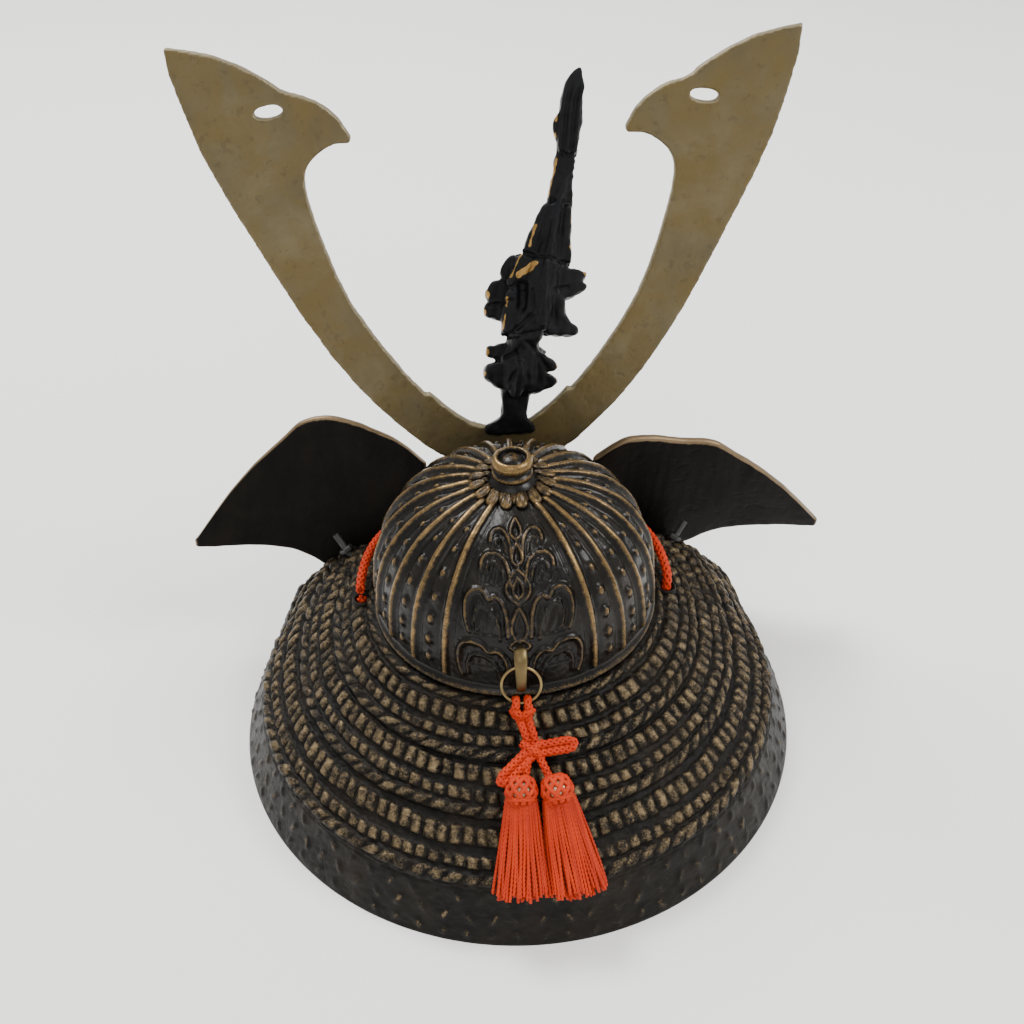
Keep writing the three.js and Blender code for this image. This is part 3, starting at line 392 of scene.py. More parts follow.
def make_rub_group():
    """Where hands and cloth have rubbed the patina off raised metal, speckled with what stayed."""
    tree, given, result = new_group(
        "rubbed_relief", [("Relief", 0.0), ("Start", 0.5), ("Full", 0.9), ("Speckle", 0.5)], ["Mask"])
    coarse = noise(tree, 420.0, 3.0, 0.6)
    fine = noise(tree, 1900.0, 3.0, 0.7)
    both = math_node(tree, "ADD", math_node(tree, "MULTIPLY", coarse, 0.5),
                     math_node(tree, "MULTIPLY", fine, 0.5))
    loss = math_node(tree, "MULTIPLY", math_node(tree, "SUBTRACT", both, 0.5), given.outputs["Speckle"])
    worn = math_node(tree, "ADD", given.outputs["Relief"], math_node(tree, "MULTIPLY", loss, 4.0))
    node = put(tree, "ShaderNodeMapRange", {"Value": worn, "From Min": given.outputs["Start"],
                                            "From Max": given.outputs["Full"]})
    node.interpolation_type = "SMOOTHSTEP"
    tree.links.new(node.outputs[0], result.inputs["Mask"])
    return tree


def make_grain_group():
    """Cast skin: pits, fine grain and broad clouds of tone."""
    tree, given, result = new_group("cast_skin", [("Pits", 1.0), ("Grain", 1.0)], ["Height", "Clouds"])
    pits = remap(tree, noise(tree, 260.0, 2.0, 0.5), 0.3, 0.45, -1.0, 0.0)
    grain = noise(tree, 2600.0, 3.0, 0.7)
    total = math_node(tree, "ADD", math_node(tree, "MULTIPLY", pits, given.outputs["Pits"]),
                      math_node(tree, "MULTIPLY", grain, given.outputs["Grain"]))
    tree.links.new(total, result.inputs["Height"])
    tree.links.new(noise(tree, 70.0, 5.0, 0.65, 0.4), result.inputs["Clouds"])
    return tree


def use_group(tree, group, inputs):
    node = put(tree, "ShaderNodeGroup")
    node.node_tree = group
    for key, value in inputs.items():
        if isinstance(value, bpy.types.NodeSocket):
            tree.links.new(value, node.inputs[key])
        else:
            node.inputs[key].default_value = value
    return node


def rgba(colour):
    return (*colour[:3], 1.0)


def new_material(name):
    material = bpy.data.materials.new(name)
    material.use_nodes = True
    tree = material.node_tree
    shader = next(node for node in tree.nodes if node.type == "BSDF_PRINCIPLED")
    return material, tree, shader


def relief_of(tree):
    return put(tree, "ShaderNodeAttribute", attribute_name="relief").outputs["Fac"]


def bump(tree, shader, height, distance, strength=1.0):
    node = put(tree, "ShaderNodeBump", {"Height": height, "Distance": distance, "Strength": strength})
    tree.links.new(node.outputs["Normal"], shader.inputs["Normal"])


def patina(name, dark, cloudy, rubbed, groups, start, full, speckle, dark_rough, rubbed_rough,
           grain, metallic=(0.35, 0.85), coat=0.0):
    """Dark patina over cast metal, worn through where the relief is high."""
    material, tree, shader = new_material(name)
    skin = use_group(tree, groups["skin"], {"Pits": 0.6, "Grain": 1.0})
    worn = use_group(tree, groups["rub"], {"Relief": relief_of(tree), "Start": start, "Full": full,
                                           "Speckle": speckle})
    mask = worn.outputs["Mask"]
    clouds = remap(tree, skin.outputs["Clouds"], 0.35, 0.68)
    under = mix_colour(tree, clouds, rgba(dark), rgba(cloudy))
    metal = mix_colour(tree, clouds, rgba(rubbed), rgba([c * 0.72 for c in rubbed]))
    tree.links.new(mix_colour(tree, mask, under, metal), shader.inputs["Base Color"])
    tree.links.new(remap(tree, mask, 0.0, 1.0, dark_rough, rubbed_rough), shader.inputs["Roughness"])
    tree.links.new(remap(tree, mask, 0.0, 1.0, *metallic), shader.inputs["Metallic"])
    shader.inputs["Specular IOR Level"].default_value = 0.13
    shader.inputs["Coat Weight"].default_value = coat
    shader.inputs["Coat Roughness"].default_value = 0.14
    bump(tree, shader, skin.outputs["Height"], grain)
    return material


def horn_brass(name, colours, groups):
    material, tree, shader = new_material(name)
    skin = use_group(tree, groups["skin"], {"Pits": 1.0, "Grain": 0.8})
    worn = use_group(tree, groups["rub"], {"Relief": relief_of(tree), "Start": 0.25, "Full": 0.8,
                                           "Speckle": 0.2})
    broad = remap(tree, noise(tree, 26.0, 4.0, 0.6, 0.3), 0.35, 0.65)
    spots = remap(tree, noise(tree, 330.0, 3.0, 0.6), 0.56, 0.7)
    base = mix_colour(tree, broad, rgba(colours.horn_brass), rgba([c * 0.66 for c in colours.horn_brass]))
    mottled = mix_colour(tree, remap(tree, skin.outputs["Clouds"], 0.3, 0.7), base,
                         rgba([c * f for c, f in zip(colours.horn_brass, (0.9, 0.8, 0.55))]))
    spotted = mix_colour(tree, math_node(tree, "MULTIPLY", spots, 0.22), mottled, rgba((0.02, 0.015, 0.01)))
    tree.links.new(mix_colour(tree, worn.outputs["Mask"], spotted, rgba(colours.horn_edge)),
                   shader.inputs["Base Color"])
    tree.links.new(remap(tree, skin.outputs["Clouds"], 0.3, 0.7, 0.42, 0.58), shader.inputs["Roughness"])
    shader.inputs["Metallic"].default_value = 0.6
    bump(tree, shader, skin.outputs["Height"], 0.06 * MM)
    return material


def silk(name, colour):
    """Shiny rayon thread with fine fibres; a darker, redder painted shade fills the hollows between strands.
    """
    material, tree, shader = new_material(name)
    fibres = noise(tree, 3200.0, 3.0, 0.6)
    broad = remap(tree, noise(tree, 160.0, 3.0, 0.5), 0.3, 0.7)
    lit = mix_colour(tree, broad, rgba(colour), rgba((colour[0] * 0.86, colour[1] * 0.72, colour[2] * 0.6)))
    # Painted shade: this darker colour stands in for the shade between strands, mixed in where the relief
    # attribute is low
    painted_shade_colour = rgba((colour[0] * 0.35, colour[1] * 0.2, colour[2] * 0.2))
    share = math_node(tree, "ADD", math_node(tree, "MULTIPLY", relief_of(tree), 0.7), 0.3)
    tree.links.new(mix_colour(tree, share, painted_shade_colour, lit), shader.inputs["Base Color"])
    tree.links.new(remap(tree, fibres, 0.2, 0.8, 0.5, 0.7), shader.inputs["Roughness"])
    shader.inputs["Specular IOR Level"].default_value = 0.25
    bump(tree, shader, fibres, 0.05 * MM)
    return material


def plain_metal(name, colour, roughness, groups, metallic=0.9):
    material, tree, shader = new_material(name)
    skin = use_group(tree, groups["skin"], {"Pits": 0.2, "Grain": 1.0})
    clouds = remap(tree, skin.outputs["Clouds"], 0.3, 0.7)
    tree.links.new(mix_colour(tree, clouds, rgba(colour), rgba([c * 0.6 for c in colour])),
                   shader.inputs["Base Color"])
    tree.links.new(remap(tree, clouds, 0.0, 1.0, roughness, roughness + 0.15), shader.inputs["Roughness"])
    shader.inputs["Metallic"].default_value = metallic
    bump(tree, shader, skin.outputs["Height"], 0.02 * MM)
    return material


MATERIALS = {}
# Painted shade: share by which the ear plates' patina colours are darkened, standing in for the shade the
# ears hang in
EAR_PAINTED_SHADE = 0.6


def make_materials(colours):
    groups = {"rub": make_rub_group(), "skin": make_grain_group()}
    dark = list(colours.patina)
    cloudy = [dark[0] * 2.2, dark[1] * 1.9, dark[2] * 1.6]
    MATERIALS["guard"] = patina("guard_patina", dark, cloudy, colours.rubbed_bronze, groups,
                                0.42, 1.45, 1.0, 0.36, 0.36, 0.16 * MM, (0.2, 0.85))
    MATERIALS["bowl"] = patina("bowl_patina", dark, cloudy, colours.rubbed_gold, groups,
                               0.3, 1.1, 0.45, 0.2, 0.3, 0.07 * MM, (0.1, 0.9), 0.12)
    # Painted shade: the ears' patina colours are the guard's, darkened by the ear shade share above
    ear_dark_painted_shade = [c * EAR_PAINTED_SHADE for c in dark]
    ear_cloudy_painted_shade = [c * EAR_PAINTED_SHADE for c in cloudy]
    MATERIALS["ear"] = patina("ear_patina_painted_shade", ear_dark_painted_shade, ear_cloudy_painted_shade, colours.ear_edge, groups,
                              0.3, 0.8, 0.25, 0.55, 0.4, 0.09 * MM, (0.3, 0.8))
    MATERIALS["crest"] = patina("crest_patina", colours.crest_black, [c * 1.8 for c in colours.crest_black],
                                colours.gilt, groups, 0.45, 0.75, 0.15, 0.42, 0.3, 0.08 * MM, (0.2, 0.95))
    MATERIALS["horn"] = horn_brass("horn_brass", colours, groups)
    MATERIALS["silk"] = silk("orange_silk", colours.silk)
    MATERIALS["ring"] = plain_metal("ring_brass", colours.ring_brass, 0.3, groups)
    MATERIALS["staple"] = plain_metal("staple_brass", [c * 0.62 for c in colours.ring_brass], 0.34, groups)
    MATERIALS["bolt"] = plain_metal("bolt_steel", colours.bolt_steel, 0.42, groups)
    MATERIALS["foil"] = plain_metal("head_foil", (0.5, 0.42, 0.28), 0.35, groups)


# Neck guard


def end_angle(share):
    return lerp(TOP_END_ANGLE, HEM_END_ANGLE, np.clip(share, 0, 1) ** 2)


def lift_at(angle, share):
    turn = np.abs(angle)
    lames = FRONT_LIFT * smooth(turn, LIFT_START_ANGLE, TOP_END_ANGLE - 5)
    rim = HEM_LIFT * smooth(turn, HEM_LIFT_START_ANGLE, HEM_END_ANGLE)
    return lerp(lames * np.clip(np.asarray(share) * 1.8, 0, 1), rim, smooth(share, 0.7, 1.0))


def ring_point(radius, height, angle, share):
    set_forward = BOWL_SET_FORWARD * (1 - np.clip(share, 0, 1))
    turn = np.radians(angle)
    reach = radius + set_forward
    return np.stack(np.broadcast_arrays(reach * np.sin(turn), reach * np.cos(turn) - set_forward,
                                        height + lift_at(angle, share)), axis=-1)


def slope_point(share, proud, angle):
    radius = lerp(SLOPE_TOP, FOLD_RADIUS, share) + proud * math.sin(SLOPE_ANGLE)
    height = lerp(SEAT_HEIGHT, HEM_HEIGHT, share) + proud * math.cos(SLOPE_ANGLE)
    return ring_point(radius, height, angle, share)


# Rows of cast lacing down the guard: kind, share of the slope, half height and relief in mm
LACING = [
    ("rope", 0.03, 1.3, 0.9),
    ("bar", 0.122, 2.7, 1.7),
    ("nub", 0.226, 1.75, 1.4),
    ("rope", 0.302, 1.75, 1.4),
    ("bar", 0.405, 2.7, 1.7),
    ("nub", 0.517, 1.85, 1.4),
    ("rope", 0.598, 1.85, 1.5),
    ("bar", 0.726, 2.85, 1.7),
    ("nub", 0.856, 1.9, 1.4),
    ("rope", 0.938, 1.9, 1.4),
]
LAME_ENDS = (0.34, 0.635, 0.985)


def lacing_relief(share, across, settings):
    """Height in millimetres and rubbed share, for a share of the slope and of the way round."""
    random = np.random.default_rng(11)
    height = np.zeros(np.broadcast(share, across).shape)
    rubbed = np.zeros_like(height)
    for kind, at, half, relief in LACING:
        radius = lerp(SLOPE_TOP, FOLD_RADIUS, at)
        arc = radius * math.radians(2 * float(end_angle(at)))
        pitch = settings.rope_pitch if kind == "rope" else settings.bar_pitch
        count = int(round(arc / pitch))
        jitter = random.uniform(-1, 1, (4, count + 2))
        rough = random.uniform(-1, 1, 40)
        wave = np.interp(across * 39, np.arange(40), rough)
        down = ((share - at) * SLOPE_LENGTH + wave * 0.22) / half
        slant = {"rope": -0.34, "bar": 0.06, "nub": 0.06}[kind]
        phase = across * count + slant * down + random.uniform(0, 1)
        cell = np.clip(np.floor(phase).astype(int), 0, count + 1)
        side = 2 * (phase - np.floor(phase)) - 1 + 0.12 * jitter[0][cell]
        long_way = down * (1 + 0.08 * jitter[1][cell]) + 0.12 * jitter[2][cell]
        u = np.clip(np.abs(long_way), 0, 1)
        v = np.clip(np.abs(side) / {"rope": 0.97, "bar": 0.95, "nub": 0.96}[kind], 0, 1)
        power = {"rope": 2.6, "bar": 6.5, "nub": 4.5}[kind]
        form = np.sqrt(1 - u ** power) * (1 - v ** 2.6) ** 0.62
        lump = form * (1 + 0.16 * jitter[3][cell])
        rows = relief * lump
        if kind == "rope":
            rows = np.maximum(rows, relief * 0.15 * np.sqrt(1 - u ** 2))
        inside = np.abs(down) < 1.25
        height = np.where(inside, np.maximum(height, rows), height)
        rubbed = np.where(inside, np.maximum(rubbed, lump * (0.9 if kind != "rope" else 0.84)), rubbed)
    start = 0.0
    for end in LAME_ENDS:
        within = (share >= start) & (share < end)
        height = height + np.where(within, 0.75 * (share - start) / (end - start), 0)
        start = end
    return height, rubbed


def hem_relief(down, across):
    """Three rows of small slanted stitches on the hem, worn on top."""
    random = np.random.default_rng(23)
    height = np.zeros(np.broadcast(down, across).shape)
    rubbed = np.zeros_like(height)
    arc = RIM_RADIUS * math.radians(2 * HEM_END_ANGLE)
    hem_length = math.hypot(HEM_HEIGHT, HEM_WIDTH)
    for at, pitch, size, relief in ((0.16, 7.6, 1.7, 0.55), (0.5, 7.6, 2.0, 0.6), (0.82, 7.6, 1.6, 0.5)):
        count = int(round(arc / pitch))
        jitter = random.uniform(-1, 1, (3, count + 2))
        phase = across * count + (0.5 if at > 0.3 else 0.0)
        cell = np.clip(np.floor(phase).astype(int), 0, count + 1)
        along = (phase - np.floor(phase) - 0.5) * pitch + jitter[0][cell] * 0.5
        low = (down - at) * hem_length + jitter[1][cell] * 0.4
        way = np.where(cell % 2, 1, -1) * 0.6
        length = (low + way * along) / np.hypot(1, way)
        width = (along - way * low) / np.hypot(1, way)
        arm = relief * np.exp(-(length / size) ** 4 - (width / 0.85) ** 2) * (1 + 0.3 * jitter[2][cell])
        height = np.maximum(height, arm)
    rubbed = np.clip(height / 0.6, 0, 1) ** 1.6 * 0.85
    return height, rubbed


def make_guard(settings):
    slope_rows, hem_rows, columns = 128, 26, settings.guard_columns
    across = np.linspace(0, 1, columns)
    inner_radius = SLOPE_TOP - SEAT_WIDTH
    rows, masks = [], []
    ends = smooth(across, 0.0, 0.006) * smooth(1 - across, 0.0, 0.006)

    def add_row(points, mask=0.0):
        rows.append(points)
        masks.append(np.broadcast_to(mask, (columns,)))

    def angle_at(share):
        return (2 * across - 1) * end_angle(share)

    add_row(ring_point(inner_radius, SEAT_HEIGHT, angle_at(0.0), 0.0))
    for share in np.linspace(0, 1, slope_rows):
        height, rubbed = lacing_relief(np.full(columns, share), across, settings)
        skin = slope_point(share, 0.0, angle_at(share))
        height = height * ends + 0.16 * ripple(skin, 5.0, 5) + 0.11 * ripple(skin, 1.5, 6)
        add_row(slope_point(share, height, angle_at(share)), rubbed * ends)
    fold = slope_point(1.0, 0.0, angle_at(1.0))
    turn = np.radians(angle_at(1.0))
    rim = np.stack([RIM_RADIUS * np.sin(turn), RIM_RADIUS * np.cos(turn), lift_at(angle_at(1.0), 1.0)], -1)
    outward = np.stack([np.sin(turn) * HEM_HEIGHT, np.cos(turn) * HEM_HEIGHT,
                        np.full(columns, HEM_WIDTH)], -1) / math.hypot(HEM_HEIGHT, HEM_WIDTH)
    for down in np.linspace(0, 1, hem_rows)[1:]:
        skin = lerp(fold, rim, down)
        height, rubbed = hem_relief(np.full(columns, down), across)
        fade = 1 - smooth(down, 0.93, 1.0)
        height = (height + 0.12 * ripple(skin, 9.0, 8) + 0.06 * ripple(skin, 2.2, 9)) * fade
        add_row(skin + outward * height[:, None], rubbed + 0.3 * smooth(down, 0.97, 1.0))
    inner_rim = rim * ((RIM_RADIUS - GUARD_WALL) / RIM_RADIUS, (RIM_RADIUS - GUARD_WALL) / RIM_RADIUS, 1)
    add_row(inner_rim)
    for share in (1.0, 0.8, 0.6, 0.4, 0.2):
        add_row(slope_point(share, -GUARD_WALL, angle_at(share)))
    add_row(ring_point(inner_radius, SEAT_HEIGHT - GUARD_WALL, angle_at(0.0), 0.0))
    points = np.stack(rows)
    count = len(rows)
    faces = grid_faces(count, columns, close_rows=True)
    faces = clear_of_holes(points.reshape(-1, 3), faces)
    faces.append([i * columns for i in range(count)])
    faces.append([i * columns + columns - 1 for i in range(count)])
    shape = Shape()
    shape.add(points, faces, np.stack(masks))
    shape.build("guard_casting", MATERIALS["guard"], ["neck_guard"])


def hole_place(side):
    radius = SEAT_OUTER + CORD_HOLE_OUT
    turn = math.radians(CORD_HOLE_ANGLE)
    return np.array([side * radius * math.sin(turn), radius * math.cos(turn) - BOWL_SET_FORWARD])


def clear_of_holes(points, faces):
    quads = np.array(faces)
    middle = points[quads].mean(axis=1)
    keep = np.ones(len(quads), bool)
    for side in (-1, 1):
        away = np.linalg.norm(middle[:, :2] - hole_place(side), axis=1)
        keep &= ~((away < 2.1) & (middle[:, 2] > HEM_HEIGHT * 2))
    return quads[keep].tolist()


def make_eyelets():
    """Raised eyelets where the chin cord goes down through the guard."""
    shape = Shape()
    for side in (-1, 1):
        x, y = hole_place(side)
        top = SEAT_HEIGHT - (abs(x) - SEAT_OUTER) * math.tan(SLOPE_ANGLE) + 2.2
        wall = [(1.95, top - 7.5), (1.95, top - 0.4), (2.2, top), (2.75, top + 0.25), (3.2, top - 0.2),
                (3.35, top - 1.2), (3.3, top - 3.4), (2.6, top - 4.2), (2.5, top - 7.5), (1.95, top - 7.5)]
        points, faces = turned(wall, 40, (x, y, 0))
        mask = np.repeat([0.1, 0.1, 0.3, 0.4, 0.3, 0.1, 0, 0, 0, 0.1], 40)
        shape.add(points, faces, mask)
    shape.build("cord_eyelets", MATERIALS["guard"], [])


# Bowl


def bowl_point(angle, elevation, proud):
    turn, rise = np.radians(angle), np.radians(elevation)
    power = BOWL_FULLNESS
    full = (np.abs(np.cos(rise)) ** power + np.abs(np.sin(rise)) ** power) ** (-1 / power)
    radius = BOWL_RADIUS * full + proud
    return np.stack(np.broadcast_arrays(radius * np.cos(rise) * np.sin(turn),
                                        radius * np.cos(rise) * np.cos(turn) - BOWL_SET_FORWARD,
                                        BOWL_CENTRE + radius * np.sin(rise)), axis=-1)


# Acanthus lines on the back panel, mirrored on both sides: millimetres aside, degrees of elevation
LEAF_LINES = [
    [(1.4, 53), (1.7, 57.5), (2.6, 61.6), (4.2, 63.8), (6.0, 63), (6.9, 60.8), (7.1, 58.6)],
    [(2.9, 55), (3.4, 58.8), (4.6, 60.6), (5.6, 59.4), (5.6, 57.6)],
    [(1.9, 43.5), (2.4, 48.5), (3.6, 52.6), (5.8, 54.4), (8.2, 53.6), (9.6, 51.2), (9.9, 48.6)],
    [(3.7, 45), (4.4, 49.2), (6.2, 51.2), (8.0, 50.2), (8.4, 48.0)],
    [(3.2, 25), (3.4, 32), (4.6, 37.6), (6.4, 39.4), (8.2, 38.4), (9.6, 41), (12.4, 40.8), (14.4, 37.4),
     (15.0, 31.0), (14.2, 26.0)],
    [(5.6, 24), (6.2, 31), (8.2, 35), (11.0, 36), (12.4, 32.0), (12.0, 27.0)],
    [(3.6, 11), (4.6, 16.4), (6.8, 19), (9.2, 18.4), (10.8, 20.8), (13.8, 21.8), (16.6, 20.6), (18.2, 16.5),
     (18.4, 10), (17.6, 6)],
    [(6.0, 6), (7.4, 12.6), (10.2, 15.8), (13.8, 16.0), (15.8, 12), (15.8, 7)],
]
# Closed buds up the stem: foot, widest point and tip in degrees of elevation, half width in mm
STEM_BUDS = [
    (59.5, 62.5, 68.5, 1.5),
    (50.0, 53.0, 58.0, 1.5),
    (37.0, 42.5, 49.0, 3.2),
    (38.8, 42.0, 46.0, 1.4),
    (23.0, 28.5, 36.0, 2.2),
    (19.5, 21.5, 24.5, 2.8),
]


def line_distance(x, y, line):
    """Distance from points to a polyline."""
    best = np.full(x.shape, 1e9)
    for (x0, y0), (x1, y1) in zip(line[:-1], line[1:]):
        dx, dy = x1 - x0, y1 - y0
        t = np.clip(((x - x0) * dx + (y - y0) * dy) / (dx * dx + dy * dy), 0, 1)
        best = np.minimum(best, np.hypot(x - x0 - t * dx, y - y0 - t * dy))
    return best


def rounded(line):
    points = np.array([(x, 0.0, y) for x, y in line])
    fine = resample(points, 0.35)
    return [(x, y) for x, _, y in fine]


def bowl_relief(angle, elevation, settings):
    degree = BOWL_RADIUS * math.pi / 180
    signed = (angle + 180) % 360 - 180
    cos = np.cos(np.radians(elevation))
    height = np.zeros(np.broadcast(angle, elevation).shape)
    rubbed = np.zeros_like(height)
    ribbed = np.abs(signed) > PANEL_HALF - RIB_PITCH / 2
    nearest = np.round(signed / RIB_PITCH) * RIB_PITCH
    away = np.abs(signed - nearest) * degree * cos
    run = smooth(elevation, 1.5, 4.5) * (1 - smooth(elevation, 73, 77))
    crest = np.exp(-(away / 1.0) ** 4)
    rib = (settings.rib_height * crest + 0.35 * np.exp(-(away / 2.0) ** 2)) * run
    groove = -0.35 * np.exp(-((away - 2.2) / 0.6) ** 2) * run
    height = np.where(ribbed, rib + groove, height)
    rubbed = np.where(ribbed, np.exp(-(away / 0.95) ** 3) * run * 0.85, rubbed)
    middle = (np.floor(signed / RIB_PITCH) + 0.5) * RIB_PITCH
    aside = (signed - middle) * degree * cos
    outside = np.abs(signed) > PANEL_HALF
    for at in (8.5, 17, 25.5, 34, 43, 52, 60.5):
        shrink = lerp(1.0, 0.62, smooth(at, 20, 62))
        far = (aside / (1.35 * shrink)) ** 2 + ((elevation - at) * degree / (1.85 * shrink)) ** 2
        stud = np.sqrt(np.clip(1 - far, 0, 1))
        collar = 0.18 * np.exp(-((np.sqrt(far) - 1.15) / 0.2) ** 2)
        height = np.where(outside, height + 1.15 * stud * shrink + collar, height)
        rubbed = np.where(outside, np.maximum(rubbed, smooth(stud, 0.35, 0.9) * 0.7), rubbed)
    return height, rubbed


def leaf_relief(angle, elevation, settings):
    degree = BOWL_RADIUS * math.pi / 180
    x = angle * degree * np.cos(np.radians(elevation))
    y = elevation * degree
    height = np.zeros(np.broadcast(x, y).shape)
    rubbed = np.zeros_like(height)
    inside = np.zeros_like(height)
    for i, line in enumerate(LEAF_LINES):
        curve = rounded([(a, b * degree) for a, b in line])
        far = line_distance(np.abs(x), y, curve)
        width = 0.8 if i % 2 == 0 else 0.65
        relief = settings.leaf_height * (1.0 if i % 2 == 0 else 0.75)
        height = np.maximum(height, relief * np.exp(-(far / width) ** 2.4))
        rubbed = np.maximum(rubbed, np.exp(-(far / (width * 0.62)) ** 2) * (0.62 if i % 2 == 0 else 0.4))
        if i % 2 == 0:
            low, high = curve[0][1], max(b for _, b in curve)
            rising = curve[:len(curve) // 2]
            reach = np.interp(y, [b for _, b in rising], [a for a, _ in rising])
            body = smooth(far, 0.0, 2.6) * (y < high) * (y > low) * (np.abs(x) > reach)
            body = body * (np.abs(x) < curve[-1][0] + 0.3)
            inside = np.maximum(inside, body)
    for foot, wide, tip, half in STEM_BUDS:
        outline = [(0.0, foot), (half * 0.8, lerp(foot, wide, 0.5)), (half, wide),
                   (half * 0.62, lerp(wide, tip, 0.55)), (0.0, tip)]
        curve = rounded([(a, b * degree) for a, b in outline])
        far = line_distance(np.abs(x), y, curve)
        height = np.maximum(height, settings.leaf_height * 1.1 * np.exp(-(far / 0.7) ** 2.4))
        rubbed = np.maximum(rubbed, np.exp(-(far / 0.42) ** 2) * 0.6)
    veins = 0.16 * np.sin(x * 2.4 + y * 0.8) * inside
    stipple = np.random.default_rng(31).uniform(-1, 1, height.shape) * 0.1 * inside
    height = height - 0.45 * inside + veins + stipple
    edge = smooth(np.abs(angle), PANEL_HALF - 5, PANEL_HALF - 2)
    fade = (1 - edge)
    return height * fade, rubbed * fade


def make_bowl(settings):
    panel = np.linspace(-PANEL_HALF, PANEL_HALF, 150, endpoint=False)
    side = np.linspace(PANEL_HALF, 360 - PANEL_HALF, 20 * 22, endpoint=False)
    angles = np.concatenate([panel, side])
    signed = (angles + 180) % 360 - 180
    elevations = np.linspace(1.5, 84, 150)
    bead = BOWL_RADIUS + BEAD_REACH
    turn = np.radians(angles)

    def hoop(radius, height):
        return np.stack([radius * np.sin(turn), radius * np.cos(turn) - BOWL_SET_FORWARD,
                         np.full(len(turn), height)], -1)

    rows = [hoop(BOWL_RADIUS - BOWL_WALL, BOWL_FLOOR), hoop(bead, BOWL_FLOOR),
            hoop(bead, BOWL_FLOOR + BOWL_SKIRT * 0.55), hoop(bead - 0.25, BOWL_FLOOR + BOWL_SKIRT * 0.85),
            hoop(bead - 0.8, BOWL_FLOOR + BOWL_SKIRT)]
    masks = [np.zeros(len(angles)), np.full(len(angles), 0.1), np.full(len(angles), 0.45),
             np.full(len(angles), 0.5), np.full(len(angles), 0.25)]
    for elevation in elevations:
        height, rubbed = bowl_relief(angles, elevation, settings)
        leaf, leaf_rub = leaf_relief(signed, np.full(len(angles), elevation), settings)
        in_panel = np.abs(signed) < PANEL_HALF - 1.5
        height = height + np.where(in_panel, leaf, 0)
        rubbed = np.maximum(rubbed, np.where(in_panel, leaf_rub, 0))
        skin = bowl_point(angles, elevation, 0.0)
        height = height + 0.09 * ripple(skin, 8.0, 12) + 0.03 * ripple(skin, 2.0, 13)
        rows.append(bowl_point(angles, elevation, height))
        masks.append(rubbed)
    for elevation in np.linspace(84, 0, 16):
        rows.append(bowl_point(angles, elevation, -BOWL_WALL))
        masks.append(np.zeros(len(angles)))
    shape = Shape()
    faces = grid_faces(len(rows), len(angles), close_rows=True, close_columns=True)
    shape.add(np.stack(rows), faces, np.stack(masks))
    shape.build("bowl_casting", MATERIALS["bowl"], ["crown_bowl"])


def petal(shape, angle, radius, half_length, half_width, height, rise, tilt):
    """A plump petal with a crease, lying on the bowl and pointing outward."""
    u = np.linspace(0, 2 * np.pi, 20, endpoint=False)
    v = np.linspace(0.04, np.pi / 2, 8)
    long_way = np.outer(np.sin(v), np.cos(u))
    side_way = np.outer(np.sin(v), np.sin(u)) * (0.8 + 0.2 * long_way)
    up = np.outer(np.cos(v), np.ones(len(u))) ** 0.55
    crease = 1 - 0.28 * np.exp(-(side_way / 0.2) ** 2) * (long_way > -0.5)
    local = np.stack([side_way * half_width, long_way * half_length, up * height * crease - 0.5], -1)
    lean = math.radians(tilt)
    y = radius + local[..., 1] * math.cos(lean) + local[..., 2] * math.sin(lean)
    z = rise - local[..., 1] * math.sin(lean) + local[..., 2] * math.cos(lean)
    turn = math.radians(angle)
    points = np.stack([local[..., 0] * math.cos(turn) + y * math.sin(turn),
                       -local[..., 0] * math.sin(turn) + y * math.cos(turn) - BOWL_SET_FORWARD, z], -1)
    mask = smooth(up * crease, 0.2, 0.8) * 0.55 + smooth(long_way, 0.2, 0.9) * 0.3
    shape.add(points, capped_faces(len(v), len(u)), mask)


def make_finial(settings):
    shape = Shape()
    centre = (0, -BOWL_SET_FORWARD, 0)
    top = FINIAL_HIGH[2]
    crown = top - 7.0
    power = BOWL_FULLNESS

    def skin(radius):
        return BOWL_CENTRE + (BOWL_RADIUS ** power - radius ** power) ** (1 / power) + 0.5

    for i in range(settings.petals):
        angle = 360 * (i + 0.5) / settings.petals
        petal(shape, angle, 10.9, 3.1, 2.45, 1.8, skin(10.9) + 0.35, 14)
        petal(shape, angle + 180 / settings.petals, 8.4, 3.0, 1.5, 1.7, skin(8.4) - 0.2, 8)
    ring = 6.3
    profile = [(0.02, crown - 4), (8.2, crown - 3.2), (8.0, crown - 1.4), (5.9, crown - 0.5), (5.5, crown),
               (5.9, crown + 0.35), (ring, crown + 0.75), (ring + 0.05, crown + 1.25),
               (ring - 0.15, crown + 1.75),
               (ring - 0.75, crown + 2.1), (ring - 1.15, crown + 2.5), (ring - 1.1, crown + 3.0),
               (ring - 0.5, crown + 3.4), (ring, crown + 4.1), (ring + 0.12, crown + 4.9),
               (ring, crown + 5.7),
               (ring - 0.4, crown + 6.4), (ring - 0.95, crown + 6.85), (ring - 1.4, crown + 7.0),
               (ring - 1.8, crown + 6.8), (ring - 2.05, crown + 6.2), (ring - 2.2, crown + 5.4),
               (ring - 2.3, crown + 5.2), (3.4, crown + 5.9), (2.4, crown + 6.5), (1.2, crown + 6.85),
               (0.02, crown + 6.95)]
    mask = [0, 0, 0.1, 0.1, 0.1, 0.3, 0.7, 0.75, 0.6, 0.2, 0.05, 0.05, 0.4, 0.75, 0.85, 0.85, 0.9, 0.95, 0.9,
            0.5, 0.15, 0.05, 0.05, 0.25, 0.4, 0.45, 0.45]
    points, faces = turned(profile, 72, centre)
    shape.add(points, faces, np.repeat(mask, 72))
    shape.build("finial_casting", MATERIALS["bowl"], ["crown_finial"])


# Horns, crest and ears


